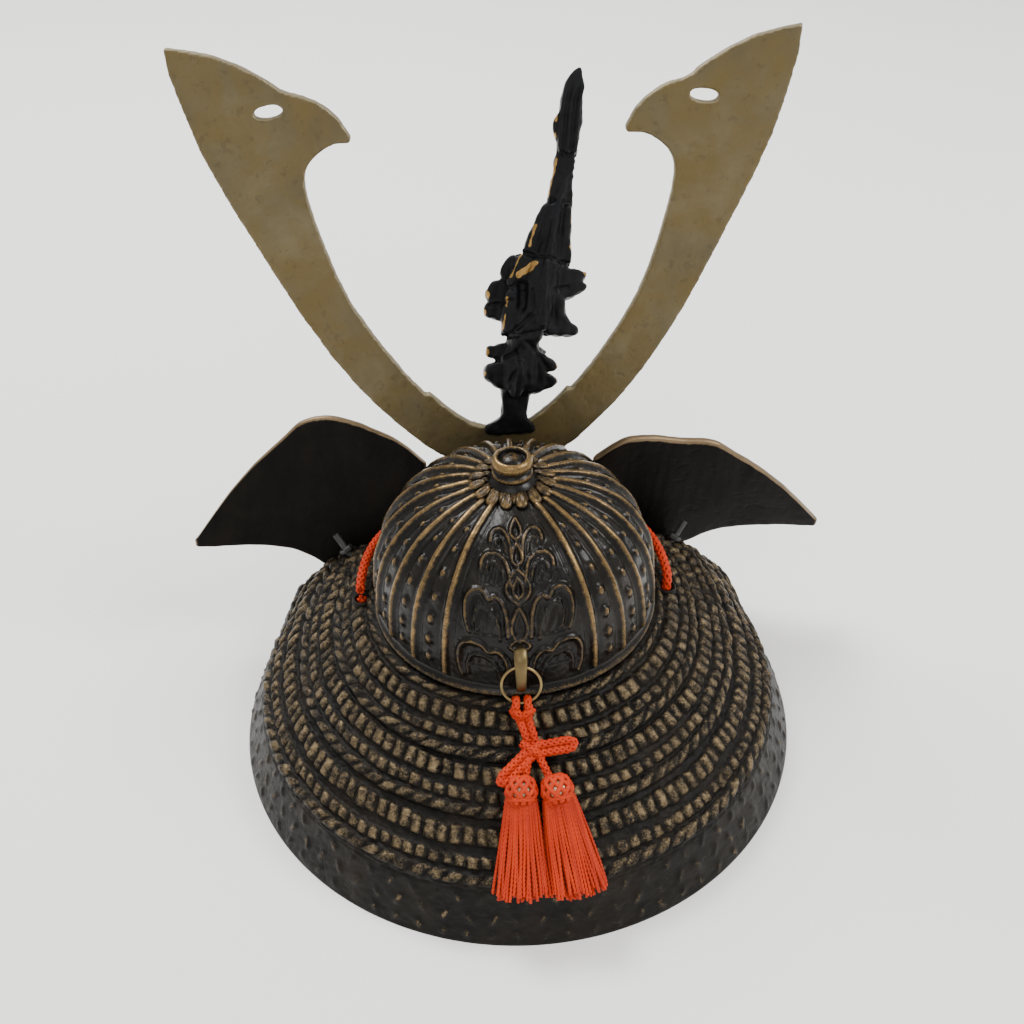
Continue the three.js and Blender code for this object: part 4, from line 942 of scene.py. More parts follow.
def plate_way():
    lean = math.radians(HORN_LEAN)
    return (0, -math.cos(lean), math.sin(lean))


def crest_place(x, z, out):
    """A place on the crest: millimetres to the photo's right, height, and out toward the front."""
    lean = math.tan(math.radians(HORN_LEAN))
    return np.array([-x, -(CREST_FOOT_FORWARD + (z - CREST_FOOT_HEIGHT) * lean) - out, z])


# Core of the dragon from the foot to the tail's tip: middle, height, half width, half depth in mm
DRAGON_TRUNK = [
    (0.6, 86.0, 3.6, 2.6), (2.6, 98.0, 3.6, 3.0), (4.4, 104.0, 7.0, 6.6), (4.8, 111.0, 6.4, 7.0),
    (5.8, 117.0, 5.4, 5.6), (9.0, 124.0, 6.6, 7.4), (11.0, 132.0, 6.8, 8.0), (12.4, 141.0, 6.4, 7.4),
    (14.4, 149.0, 4.6, 5.6), (17.0, 159.0, 3.0, 3.8), (19.0, 169.0, 2.0, 2.8), (20.2, 176.0, 2.9, 2.2),
    (20.8, 185.0, 3.8, 2.4), (21.6, 193.0, 2.9, 1.8), (22.8, 197.5, 1.6, 1.2),
]
# Castings of the dragon as slabs: half depth, place toward the front, and the outline as x and z in mm
DRAGON_SLABS = [
    (3.2, 0.0, [(-1.8, 100), (-2.1, 90), (-8.2, 86), (-7.8, 83.8), (9.2, 83.8), (9.6, 85.6), (7.0, 89),
                (7.4, 100)]),
    (4.6, 0.0, [(-1.6, 99.4), (-5.8, 102.2), (-7.6, 104.6), (-7.3, 107.6), (-5.0, 109.6), (-2.5, 110.0),
                (0.0, 114.6), (3.7, 115.6), (9.0, 114.6), (12.4, 112.2), (15.6, 109.8), (17.6, 107.4),
                (16.6, 106.2), (13.6, 105.4), (17.5, 102.4), (16.8, 100.9), (13.6, 99.2), (7.7, 97.6)]),
    (2.6, 1.2, [(-6.8, 111.8), (-6.5, 114.4), (-3.5, 115.2), (4.0, 115.4), (4.0, 109.6), (-4.6, 110.2)]),
    (5.0, -0.4, [(-1.2, 119.2), (13.1, 118.6), (23.8, 118.4), (24.3, 119.8), (20.3, 125.0), (19.6, 131.0),
                 (12.4, 134.0), (1.4, 134.6), (-0.8, 128.6)]),
    (4.4, 0.0, [(-0.6, 128.0), (12.4, 131.0), (19.9, 130.4), (26.0, 133.4), (26.7, 135.0), (25.6, 136.0),
                (26.9, 138.6), (26.2, 139.6), (20.4, 141.2), (12.5, 143.8), (4.6, 145.6), (1.6, 136.0)]),
    (3.4, 2.4, [(-1.2, 122.6), (-6.2, 124.6), (-6.9, 127.3), (-5.4, 129.2), (3.0, 129.6), (2.0, 123.4)]),
    (3.0, 2.6, [(-5.4, 129.8), (-6.2, 132.0), (-5.2, 134.4), (-3.4, 136.0), (3.6, 136.6), (3.4, 129.6)]),
    (2.8, 1.0, [(-0.4, 136.9), (-1.3, 139.7), (1.2, 144.2), (5.8, 145.8), (8.4, 141.1), (4.1, 135.6)]),
    (4.0, 0.0, [(6.4, 143.4), (7.0, 149.3), (9.6, 154.9), (11.6, 159.5), (13.8, 161.9), (15.8, 162.3),
                (21.2, 160.7), (21.8, 158.3), (21.6, 148.8), (21.2, 141.6), (12.5, 141.4)]),
    (2.0, 0.0, [(13.8, 159.0), (14.6, 165.1), (15.9, 170.5), (17.6, 177.4), (22.8, 176.4), (22.0, 169.5),
                (21.4, 159.0)]),
    (2.2, -0.3, [(17.1, 175.6), (17.1, 178.8), (16.4, 181.8), (16.3, 185.5), (17.5, 189.2), (19.7, 195.8),
                 (21.2, 199.6), (23.2, 201.2), (24.5, 201.2), (25.1, 195.4), (25.4, 190.4), (24.9, 184.5),
                 (24.1, 179.3), (23.4, 175.8), (20.6, 175.2)]),
]
# Ridge, head, mane and feet of the dragon: from x, z, out to x, z, out, with the two radii, in millimetres
DRAGON_LIMBS = [
    ((2.0, 138.6, -4.4), (6.6, 149.0, -3.6), 1.3, 1.0), ((12.4, 126, -6.6), (13.4, 146, -6.8), 1.5, 1.3),
    ((13.8, 146, -6.0), (18.4, 167, -2.6), 1.5, 1.0), ((3.0, 101, -5.2), (4.6, 112, -6.4), 2.2, 2.4),
    ((6, 131, 4), (5.2, 129, 16), 6.4, 5.2), ((5.2, 130, 14), (4.0, 127.5, 25), 5.4, 2.8),
    ((5.0, 125.5, 14), (4.2, 122, 22.5), 3.6, 1.7), ((8.4, 132, 13), (11.5, 143, 9), 1.9, 0.8),
    ((8.6, 128, 14), (14.5, 126, 19), 1.3, 0.6), ((1.4, 128, 14), (-4.4, 126, 19), 1.3, 0.6),
    ((2, 110, 6), (-3.5, 106, 12), 3.0, 1.4), ((8, 110, 6), (13.5, 106, 12), 3.0, 1.4),
]
# Gilt touches: x, z as the photo shows them, and reach in millimetres
DRAGON_GILT = [
    (27.2, 138.6, 1.7), (17.9, 107.3, 1.4), (17.8, 102.0, 1.1), (-6.8, 113.2, 1.6), (-6.4, 133.0, 1.9),
    (-7.4, 127.0, 1.5), (-7.8, 105.2, 1.1),
]
# Gilt lines: from x, z to x, z with half width in millimetres
DRAGON_LINES = [
    ((4.8, 138.4), (9.8, 141.4), 1.5),
    ((8.2, 147.4), (10.4, 154.0), 0.7),
    ((14.4, 163.6), (17.0, 174.6), 0.7),
    ((21.9, 153.7), (22.1, 157.7), 0.6),
    ((21.5, 146.4), (21.7, 149.7), 0.5),
    ((-0.6, 120.4), (1.0, 131.0), 0.5),
    ((2.4, 138.0), (5.4, 145.2), 0.5),
    ((16.4, 181.0), (17.4, 190.0), 0.3),
]
# The gilt stays on the side toward the bowl, up to this far past the crest's plane in millimetres
GILT_FORWARD = 0.0
# Cuts in the casting: width and depth in millimetres, then the line's x and z
DRAGON_CUTS = [
    (0.8, 1.0, [(-7.0, 110.2), (-1.0, 109.8), (3.4, 112.0)]),
    (0.7, 0.8, [(6.4, 115.4), (10.4, 112.0), (13.6, 105.6)]),
    (0.8, 1.0, [(-1.6, 118.6), (5.0, 117.4), (13.0, 118.4)]),
    (1.5, 1.7, [(5.6, 127.6), (5.4, 134.6)]),
    (0.8, 0.9, [(3.0, 119.4), (9.2, 124.6), (8.8, 132.0)]),
    (0.8, 0.9, [(16.4, 120.6), (15.8, 132.6), (20.0, 133.4)]),
    (0.7, 0.9, [(4.4, 146.0), (12.4, 143.4), (21.2, 141.2)]),
    (0.7, 0.7, [(10.6, 146.0), (13.4, 155.6), (15.6, 162.4)]),
    (0.6, 0.6, [(17.6, 143.6), (18.6, 155.0), (19.4, 161.4)]),
    (0.7, 0.9, [(16.6, 177.0), (20.4, 175.0), (23.6, 175.6)]),
    (0.6, 0.8, [(-5.4, 129.4), (2.4, 129.4)]),
    (0.6, 0.6, [(1.0, 101.6), (4.0, 106.4), (3.4, 112.4)]),
]
# How far down the photo's slanting view carries a place that stands out toward it
VIEW_SLANT = 0.72
SLAB_SLANT = 0.55
# Sections of a slab from its far side to its near one: share of the half depth, share of the outline
SLAB_ROUNDING = ((-1, 0.85), (-0.92, 0.93), (-0.7, 0.985), (0, 1), (0.7, 0.985), (0.92, 0.93), (1, 0.85))


def add_slab(shape, half_depth, forward, outline):
    """A casting with rounded edges, from its outline on the crest's plane."""
    edge = resample([(x, 0.0, z) for x, z in outline + outline[:1]], 0.8)[:-1]
    middle = edge.mean(axis=0)
    rings = []
    for depth, shrink in SLAB_ROUNDING:
        out = depth * half_depth
        ring = middle + (edge - middle) * shrink
        rings.append([crest_place(x, z - out * SLAB_SLANT, forward + out) for x, _, z in ring])
    shape.add(np.array(rings), capped_faces(len(rings), len(edge)))


def make_crest():
    rough = Shape()
    sections = []
    trunk = np.array(DRAGON_TRUNK)
    heights = np.linspace(trunk[0, 1], trunk[-1, 1], 90)
    turn = np.linspace(0, 2 * np.pi, 24, endpoint=False)
    for z in heights:
        x, half, depth = (np.interp(z, trunk[:, 1], trunk[:, k]) for k in (0, 2, 3))
        square = (np.abs(np.cos(turn)) ** 2.6 + np.abs(np.sin(turn)) ** 2.6) ** (-1 / 2.6)
        sections.append(crest_place(x, z, 0) + np.stack(
            [half * np.cos(turn) * square, depth * np.sin(turn) * square, 0 * turn], -1))
    rough.add(np.stack(sections), capped_faces(len(sections), len(turn)))
    for slab in DRAGON_SLABS:
        add_slab(rough, *slab)
    for start, end, first, last in DRAGON_LIMBS:
        path = np.linspace(crest_place(*start), crest_place(*end), 5)
        way = path[-1] - path[0]
        way /= np.linalg.norm(way)
        path = np.vstack([path[:1] - way * first * 0.5, path, path[-1:] + way * last * 0.8])
        radii = [first * 0.6, *np.linspace(first, last, 5), last * 0.45]
        rough.add(*tube(path, radii, 6))
    for z in np.linspace(147, 173, 12):
        x = np.interp(z, (147, 160, 163, 173), (21.4, 21.2, 21.0, 22.4))
        path = np.array([crest_place(x - 1.5, z - 1.2, -1), crest_place(x - 0.4, z, -1),
                         crest_place(x, z + 1.2, -1)])
        rough.add(*tube(path, [1.4, 1.0, 0.35], 6))
    mesh = bpy.data.meshes.new("crest_rough")
    mesh.from_pydata(settle(np.concatenate(rough.points)).tolist(), [], rough.faces)
    face_outward(mesh)
    scratch = bpy.data.objects.new("crest_rough", mesh)
    bpy.context.scene.collection.objects.link(scratch)
    fine = refine(scratch, 0.42, 2)
    coords, normals = skin_of(fine)
    places = coords / MM - (0, SHIFT_Y, 0)
    x, z = -places[:, 0], places[:, 2]
    out = -places[:, 1] - (CREST_FOOT_FORWARD + (z - CREST_FOOT_HEIGHT) * math.tan(math.radians(HORN_LEAN)))
    seen = z + VIEW_SLANT * np.minimum(out, 0)
    middle = np.interp(z, trunk[:, 1], trunk[:, 0])
    flutes = 0.45 * np.cos((x - middle) * 2.6) * smooth(z, 175, 179) * (1 - smooth(z, 195, 200))
    flutes += 0.12 * np.cos((x - middle) * 1.7 + 0.3 * ripple(places, 9.0, 43)) * (1 - smooth(z, 168, 174))
    carved = 0.13 * ripple(places, 6.5, 41) + 0.07 * ripple(places, 2.2, 42)
    cuts = np.zeros(len(x))
    for width, depth, line in DRAGON_CUTS:
        cuts -= depth * np.exp(-(line_distance(x, seen, line) / width) ** 2) * (out < 1)
    coords += normals * ((flutes + cuts + carved) * MM)[:, None]
    fine.vertices.foreach_set("co", coords.ravel())
    gilt = np.zeros(len(x))
    for gx, gz, reach in DRAGON_GILT:
        gilt = np.maximum(gilt, 1 - smooth(np.hypot(x - gx, seen - gz), reach * 0.75, reach * 1.2))
    for (x0, z0), (x1, z1), width in DRAGON_LINES:
        far = line_distance(x, seen, [(x0, z0), (x1, z1)]) + 0.3 * ripple(places, 2.5, 44)
        gilt = np.maximum(gilt, (1 - smooth(far, width * 0.4, width * 1.1)) * 0.95)
    gilt *= 1 - smooth(out, GILT_FORWARD, GILT_FORWARD + 2.0)
    finish_piece("crest_casting", fine, MATERIALS["crest"], ["dragon_crest"], gilt)


# Ear plates: shares of the reach outward, and of the height for the lower and the upper edge
EAR_COLUMNS = [
    (0, 0.55, 0.8), (0.07, 0.52, 0.89), (0.125, 0.5, 0.94), (0.15, 0.14, 0.955), (0.26, 0.08, 0.985),
    (0.4, 0, 0.99), (0.46, 0.02, 0.985), (0.52, 0.09, 0.96), (0.6, 0.16, 0.865), (0.72, 0.21, 0.735),
    (0.83, 0.24, 0.59), (0.92, 0.26, 0.45), (1, 0.29, 0.32),
]
EAR_ROOT, EAR_REACH, EAR_HEIGHT, EAR_THICK = 29.0, 113.0, 62.0, 3.0
EAR_FORWARD, EAR_CURL, EAR_CURL_MIDDLE, EAR_CURL_ACROSS, EAR_PIVOT = 49.5, 8.0, 63.0, 50.0, 55.0
# Name, side, tilt in degrees, foot in millimetres, and how much the inner top corner is raised
EARS = (("left", 1, 11.0, 28.0, -0.09), ("right", -1, -15.0, 22.5, 0.1))
EAR_CORNER_END = 0.42


def ear_forward(across):
    return EAR_FORWARD - EAR_CURL * ((across - EAR_CURL_MIDDLE) / EAR_CURL_ACROSS) ** 2


def ear_point(side, tilt, across, height, out):
    up, lean = height - EAR_PIVOT, math.radians(tilt)
    forward = ear_forward(across) + up * math.sin(lean) + out * math.cos(lean)
    return np.stack(np.broadcast_arrays(side * across, -forward,
                                        EAR_PIVOT + up * math.cos(lean) - out * math.sin(lean)), -1)


def under_guard(across, forward):
    """Height just under the guard's wall."""
    share = 0.5
    for _ in range(12):
        set_forward = BOWL_SET_FORWARD * (1 - share)
        radius = np.hypot(across, forward - set_forward) - set_forward
        share = np.clip((radius - SLOPE_TOP) / (FOLD_RADIUS - SLOPE_TOP), 0, 1)
    angle = 180 - np.degrees(np.arctan2(across, forward))
    drop = (GUARD_WALL + 0.7) / math.cos(SLOPE_ANGLE)
    return lerp(SEAT_HEIGHT, HEM_HEIGHT, share) + lift_at(angle, share) - drop


def make_ears():
    table = np.array(EAR_COLUMNS)
    share = np.concatenate([[0, 0.002, 0.006], np.linspace(0.015, 0.985, 150), [0.994, 0.998, 1]])
    edge = np.minimum(1, np.sqrt(np.clip(np.minimum(share, 1 - share) / 0.012, 0.1, 1)))
    kernel = np.hanning(11) / np.hanning(11).sum()
    even = np.linspace(-0.1, 1.1, 181)

    def softened(column):
        padded = np.pad(np.interp(even, table[:, 0], table[:, column]), 5, "edge")
        return np.interp(share, even, np.convolve(padded, kernel, "valid"))

    low, high = softened(1), softened(2)
    rows = np.array([0, 0.008, 0.02, 0.05, 0.2, 0.35, 0.5, 0.65, 0.8, 0.95, 0.98, 0.992, 1])
    thick = np.array([0.4, 0.8, 1, 1, 1, 1, 1, 1, 1, 1, 1, 0.8, 0.4])
    gold = np.array([0.9, 0.8, 0.2, 0, 0, 0, 0, 0, 0, 0, 0.3, 0.9, 1])
    for name, side, tilt, foot, corner in EARS:
        shape = Shape()
        across = lerp(EAR_ROOT, EAR_REACH, share)[:, None]
        top_edge = high + corner * (1 - smooth(share, 0.1, EAR_CORNER_END))
        height = foot + EAR_HEIGHT * lerp(low[:, None], top_edge[:, None], rows)
        skin = ear_point(side, tilt, across, height, 0)
        uneven = 0.1 * ripple(skin, 14.0, 61) + 0.05 * ripple(skin, 4.0, 62)
        half = EAR_THICK / 2 * thick * edge[:, None]
        back = ear_point(side, tilt, across, height, -half + uneven)
        front = ear_point(side, tilt, across, height, half + uneven)
        points = np.concatenate([back, front[:, ::-1]], axis=1)
        faces = capped_faces(len(share), 2 * len(rows))
        mask = np.maximum(gold, 1 - smooth(edge, 0.5, 1.0)[:, None])
        shape.add(points, faces, np.concatenate([mask, mask[:, ::-1]], axis=1))
        wide = np.linspace(45, 62, 14)[:, None]
        foot_rise = under_guard(wide, EAR_FORWARD) - EAR_PIVOT
        front_edge = ear_forward(wide) + foot_rise * math.tan(math.radians(tilt))
        forward = lerp(29.0, front_edge, np.linspace(0, 1, 14))
        top = np.stack(np.broadcast_arrays(side * wide, -forward, under_guard(wide, forward)), -1)
        under = top[:, ::-1] - (0, 0, 2.4)
        sheet = np.concatenate([top, under], axis=1)
        shape.add(sheet, capped_faces(*sheet.shape[:2]), 0.0)
        shape.build("ear_casting_" + name, MATERIALS["ear"], ["ear_plate_" + name])


def make_plates():
    cast_copy("horn_plate", "horn_casting", 0.62, MATERIALS["horn"], 3, 0.06, 9.0, plate_way())
    make_ears()


def make_front():
    cast_copy("visor", "visor_casting", 0.7, MATERIALS["bowl"], 4, 0.1)
    cast_copy("horn_bracket", "bracket_casting", 0.7, MATERIALS["bowl"], 4, 0.08)


# Fittings


def make_bolts():
    outward_slope = math.sin(SLOPE_ANGLE), math.cos(SLOPE_ANGLE)
    for side, name in ((1, "left"), (-1, "right")):
        shape = Shape()
        seat = slope_point(0.5, 0.0, side * BOLT_ANGLE)
        turn = math.radians(side * BOLT_ANGLE)
        axis = np.array([math.sin(turn) * outward_slope[0], math.cos(turn) * outward_slope[0],
                         outward_slope[1]])
        across = np.cross(axis, (0, 0, 1))
        across /= np.linalg.norm(across)
        basis = np.stack([across, np.cross(axis, across), axis])
        steps = np.linspace(0, 18, 260)
        around = np.linspace(0, 2 * np.pi, 16, endpoint=False)
        thread = 1.2 - 0.15 * (0.5 + 0.5 * np.cos(around[None] - 2 * np.pi * steps[:, None] / 0.62))
        along = np.linspace(-7.6, 9.8, 260)
        points = np.stack([thread * np.cos(around), thread * np.sin(around),
                           np.broadcast_to(along[:, None], thread.shape)], -1)
        shape.add(seat + points.reshape(-1, 3) @ basis, capped_faces(len(steps), len(around)))
        for low, high, sides in ((2.0, 3.9, 6), (-8.4, -7.0, 32)):
            ring = [(2.1, low), (2.55, low + 0.25), (2.6, low + 0.4), (2.6, high - 0.4), (2.55, high - 0.25),
                    (2.1, high), (1.02, high)]
            rounds, quads = turned([(0.9, low)] + ring, sides)
            shape.add(seat + rounds.reshape(-1, 3) @ basis, quads)
        shape.build("bolt_" + name, MATERIALS["bolt"], ["ear_bolt_" + name], False)


# Staple: shares of its height and of its stand-off from the bowl, and its half width in millimetres
STAPLE_ROWS = [(1.0, 0.05, 2.3), (1.0, 0.5, 2.3), (0.93, 0.86, 2.2), (0.8, 1.0, 2.0), (0.6, 1.05, 1.85),
               (0.36, 0.98, 1.75), (0.18, 0.66, 1.7), (0.1, 0.2, 1.7)]
STAPLE_RISE, STAPLE_REACH = 16.0, 4.6


def make_staple():
    foot = BOWL_FLOOR + BOWL_SKIRT

    def bowl_back(height):
        return math.sqrt(BOWL_RADIUS ** 2 - (height - BOWL_CENTRE) ** 2) - BOWL_SET_FORWARD + CLEARANCE

    base = bowl_back(foot + 1)
    path = []
    for rise, stand, _ in STAPLE_ROWS:
        height = foot + STAPLE_RISE * rise
        back = base - bowl_back(height)
        path.append((0, base + STAPLE_REACH * stand - (1 - stand) * 0.8 - back * 0.9, height))
    even = resample(path, 0.35)
    halves = [half for _, _, half in STAPLE_ROWS]
    widths = np.interp(np.linspace(0, 1, len(even)), np.linspace(0, 1, len(path)), halves)
    points, faces = tube(even, widths * 0.88, 28, 0.46, side_way=(1, 0, 0))
    shape = Shape()
    shape.add(points, faces)
    shape.build("staple_strap", MATERIALS["staple"], ["back_staple"])


def make_ring():
    make_staple()
    low, high = box_mm("tassel_ring")
    centre = (low + high) / 2 - (0, SHIFT_Y, 0)
    wire = 0.45
    radius = (high[0] - low[0]) / 2 - wire
    lean = math.atan2(high[1] - low[1] - 2 * wire, high[2] - low[2] - 2 * wire)
    turn = np.linspace(0, 2 * np.pi, 97)[:-1]
    down = np.array([0, math.sin(lean), -math.cos(lean)])
    path = centre + radius * np.outer(np.sin(turn), (1, 0, 0)) + radius * np.outer(np.cos(turn), down)
    normal = np.array([0, math.cos(lean), math.sin(lean)])
    out = (path - centre) / radius
    around = np.linspace(0, 2 * np.pi, 14, endpoint=False)
    points = (path[:, None] + wire * np.cos(around)[None, :, None] * out[:, None]
              + wire * np.sin(around)[None, :, None] * normal)
    shape = Shape()
    shape.add(points, grid_faces(96, 14, close_rows=True, close_columns=True))
    shape.build("ring_wire", MATERIALS["ring"], ["tassel_ring"])
    return centre + down * radius


# Cords and tassels


SLOPE_ASIDE = np.array([1.0, 0, 0])
SLOPE_DOWN = np.array([0, math.cos(SLOPE_ANGLE), -math.sin(SLOPE_ANGLE)])
SLOPE_OUT = np.array([0, math.sin(SLOPE_ANGLE), math.cos(SLOPE_ANGLE)])
# How far the lacing's relief stands out from the guard's slope in mm
SLOPE_RELIEF = 2.0


def slope_place(across, distance, out):
    """A place on the back of the guard: aside, down the slope from the bowl, and out from its relief."""
    seat = np.array([across, SLOPE_TOP, SEAT_HEIGHT])
    return seat + SLOPE_DOWN * distance + SLOPE_OUT * (SLOPE_RELIEF + out)


KNOT_ASIDE, KNOT_DISTANCE = -2.6, 14.4
HEAD_ASIDE, HEAD_SPACING, HEAD_DISTANCE, HEAD_RADIUS = -3.9, 5.2, 27.0, 4.3
HANGER_RADIUS = 1.25


def make_hanger(wire):
    shape = Shape()
    radius = HANGER_RADIUS
    turn = 1.9
    for side in (-1, 1):
        across = side * 1.5
        loop = [slope_place(KNOT_ASIDE + across * 0.7, KNOT_DISTANCE - 0.6, radius),
                slope_place(KNOT_ASIDE * 0.5 + across * 0.8, KNOT_DISTANCE * 0.62, radius),
                wire + (across * 1.0, turn * 0.55, -turn * 1.5),
                wire + (across * 1.15, -turn * 0.55, -turn * 0.45),
                wire + (across * 1.2, -turn * 0.3, turn * 0.62),
                wire + (across * 1.15, turn * 0.62, turn * 0.45),
                wire + (across * 1.7, turn * 1.15, -turn * 0.9)]
        braid(shape, loop, radius)
    wrap = [wire + (-3.2, 1.3, -2.0), wire + (-1.6, 2.6, -1.2), wire + (0, 3.0, -2.6),
            wire + (1.6, 2.6, -1.2), wire + (3.2, 1.3, -2.0)]
    braid(shape, wrap, radius)
    cross = [wire + (-2.6, 1.0, -3.6), wire + (0, 3.2, -4.2), wire + (2.6, 1.0, -3.6)]
    braid(shape, cross, radius * 0.95)
    for side in (-1, 1):
        stem = [wire + (side * 1.15, 1.9, -4.0),
                slope_place(KNOT_ASIDE * 0.6 + side * 1.2, KNOT_DISTANCE * 0.7, radius * 2.2),
                slope_place(KNOT_ASIDE + side * 1.1, KNOT_DISTANCE - 0.4, radius * 1.8)]
        braid(shape, stem, radius)
    knot = slope_place(KNOT_ASIDE, KNOT_DISTANCE + 1.2, radius * 2)
    aside, down, out = SLOPE_ASIDE, SLOPE_DOWN, SLOPE_OUT
    for lift, tilt in ((0.9, 0.7), (1.2, -0.7), (0.2, 0.0)):
        bend = [knot + aside * x + down * (x * tilt) + out * (lift + 0.7 * math.cos(x))
                for x in (-3.2, -1.6, 0, 1.6, 3.2)]
        braid(shape, bend, radius)
    for reach, drop, length in ((-1.12, -0.14, 12.4), (0.92, 0.84, 13.2)):
        way = aside * reach + down * drop
        way /= np.linalg.norm(way)
        side = np.cross(out, way)
        tip = [knot + side * 1.1 + out * 0.6, knot + way * length * 0.5 + side * 1.16 + out * 1.4,
               knot + way * (length - 1.1) + side * 1.0 + out * 1.7, knot + way * length + out * 1.7,
               knot + way * (length - 1.1) - side * 1.0 + out * 1.7,
               knot + way * length * 0.5 - side * 1.16 + out * 1.4,
               knot - side * 1.1 + out * 0.6]
        braid(shape, tip, radius * 1.08)
    for side in (-1, 1):
        head = slope_place(HEAD_ASIDE + side * HEAD_SPACING, HEAD_DISTANCE, HEAD_RADIUS)
        top = head + (knot - head) / np.linalg.norm(knot - head) * (HEAD_RADIUS + 0.1)
        leg = [knot + aside * side * 0.8, lerp(knot, top, 0.5) + out * 0.5 + aside * side * 0.5, top]
        braid(shape, leg, radius)
    shape.build("hanger_cord", MATERIALS["silk"], ["tassel_cord"])


def make_tassel(side, name, settings):
    random = np.random.default_rng(50 + side)
    shape = Shape()
    head = slope_place(HEAD_ASIDE + side * HEAD_SPACING, HEAD_DISTANCE, HEAD_RADIUS)
    aside, down, out = SLOPE_ASIDE, SLOPE_DOWN, SLOPE_OUT
    splay = math.radians(settings.splay - side * 4.0)
    axis = down * math.cos(splay) + aside * side * math.sin(splay)
    width = np.cross(out, axis)
    # The net over the head
    for way in (-1, 1):
        for i in range(9):
            t = np.linspace(0.12, 0.8, 26)
            polar = t * np.pi
            round_ = way * t * 2.6 + 2 * np.pi * (i + 0.25 * way) / 9
            ball = HEAD_RADIUS * (1.0 + 0.03 * way * np.sin(9 * round_))
            path = (head - np.outer(ball * np.cos(polar), axis)
                    + np.outer(ball * np.sin(polar) * np.cos(round_), width)
                    + np.outer(ball * np.sin(polar) * np.sin(round_), out))
            shape.add(*tube(path, 0.68, 6, 1.0, 2, 0.5), 1.0)
    for at, reach in ((0.6, 0.86), (-0.86, 0.5)):
        turn = np.linspace(0, 2 * np.pi, 40)
        ring = (head + axis * HEAD_RADIUS * at + np.outer(np.cos(turn), width) * HEAD_RADIUS * reach
                + np.outer(np.sin(turn), out) * HEAD_RADIUS * reach)
        shape.add(*tube(ring, 0.6, 7, 1.0, 2, 0.4), 1.0)
    # The fringe, in layers from the guard outward
    layers, per_layer = 3, settings.strands
    for layer in range(layers):
        for i in range(per_layer):
            place = (2 * (i + 0.5 + random.uniform(-0.22, 0.22)) / per_layer - 1)
            length = settings.fringe * (1 + random.uniform(-0.05, 0.03) - 0.05 * place * place)
            lift = 0.75 + layer * 1.25
            t = np.linspace(0, 1, 8)
            spread = lerp(4.7, 8.7, t ** 0.9) * place * (1 - 0.05 * layer)
            wander = 0.45 * np.sin(t * random.uniform(2, 6) + random.uniform(0, 6)) * t
            top_rise = lerp(HEAD_RADIUS * 0.9 + (layer - 1) * 1.2, lift, smooth(t, 0, 0.45))
            bulge = 0.9 * np.sin(np.pi * np.clip(t * 1.6, 0, 1)) * (1 - place * place) * (layer / 2)
            round_off = np.sqrt(np.clip(1 - (place * 0.93) ** 2, 0, 1))
            rise = lerp(top_rise, lift * (0.7 + 0.5 * round_off), t) + bulge
            foot = slope_place(HEAD_ASIDE + side * HEAD_SPACING, HEAD_DISTANCE, 0) + axis * HEAD_RADIUS * 0.5
            path = foot + np.outer(t * length, axis) + np.outer(spread + wander, width) + np.outer(rise, out)
            path = resample(path, 0.36)
            radius = random.uniform(0.38, 0.45)
            radii = np.full(len(path), radius)
            radii[-1] *= 0.7
            # Each strand takes a random mask, so some strands carry more of the silk's painted shade
            shape.add(*tube(path, radii, 8, 1.0, 2, random.uniform(0.36, 0.46)), random.uniform(0.35, 1.0))
    shape.build("tassel_threads_" + name, MATERIALS["silk"], ["tassel_" + name])
    core = Shape()
    profile = [(0.02, -1), (0.5, -0.84), (0.84, -0.5), (0.97, 0), (0.9, 0.4), (0.72, 0.66), (0.02, 0.7)]
    rounds, faces = turned([(r * HEAD_RADIUS * 0.94, z * HEAD_RADIUS * 0.94) for r, z in profile], 28)
    basis = np.stack([width, out, axis])
    core.add(head + rounds.reshape(-1, 3) @ basis, faces)
    core.build("tassel_core_" + name, MATERIALS["foil"], [])


# Chin cord route: degrees from the back, radius from the bowl's middle and height, in millimetres
CHIN_ROUTE = [
    (180, 49.6, 52.4), (165, 49.6, 52.4), (150, 49.7, 52.6), (136, 50.2, 54.4), (122, 51.6, 56.4),
    (109, 51.8, 55.8), (98, 51.6, 54.0), (93.6, 51.6, 52.4), (92, 51.3, 49.0), (92, 51.3, 43.0),
    (92, 51.3, 30.0), (90, 51.0, 14.0), (84, 52.0, 4.4), (68, 54.0, 1.9), (48, 57.0, 1.9), (24, 58.0, 1.9),
]
CHIN_RADIUS = 1.6


def make_chin_cord():
    """One loop of cord. It is laid out from the hole on the helmet's left, round and back into it."""

    def place(side, angle, radius, height):
        turn = math.radians(angle)
        return (side * radius * math.sin(turn), radius * math.cos(turn) - BOWL_SET_FORWARD, height)

    right = [place(1, *row) for row in CHIN_ROUTE]
    left = [place(-1, *row) for row in CHIN_ROUTE[1:]][::-1]
    loop = right + [place(1, 0, 58.0, 1.9)] + left
    start = 8
    loop = loop[start:] + loop[:start]
    path = resample(loop + [tuple(np.array(loop[0]) - (0, 0, -2 * CHIN_RADIUS - 0.4))], 1.0)
    shape = Shape()
    braid(shape, path, CHIN_RADIUS, 5.4)
    piece = shape.build("chin_cord_braid", MATERIALS["silk"], ["chin_cord"])


# Stage


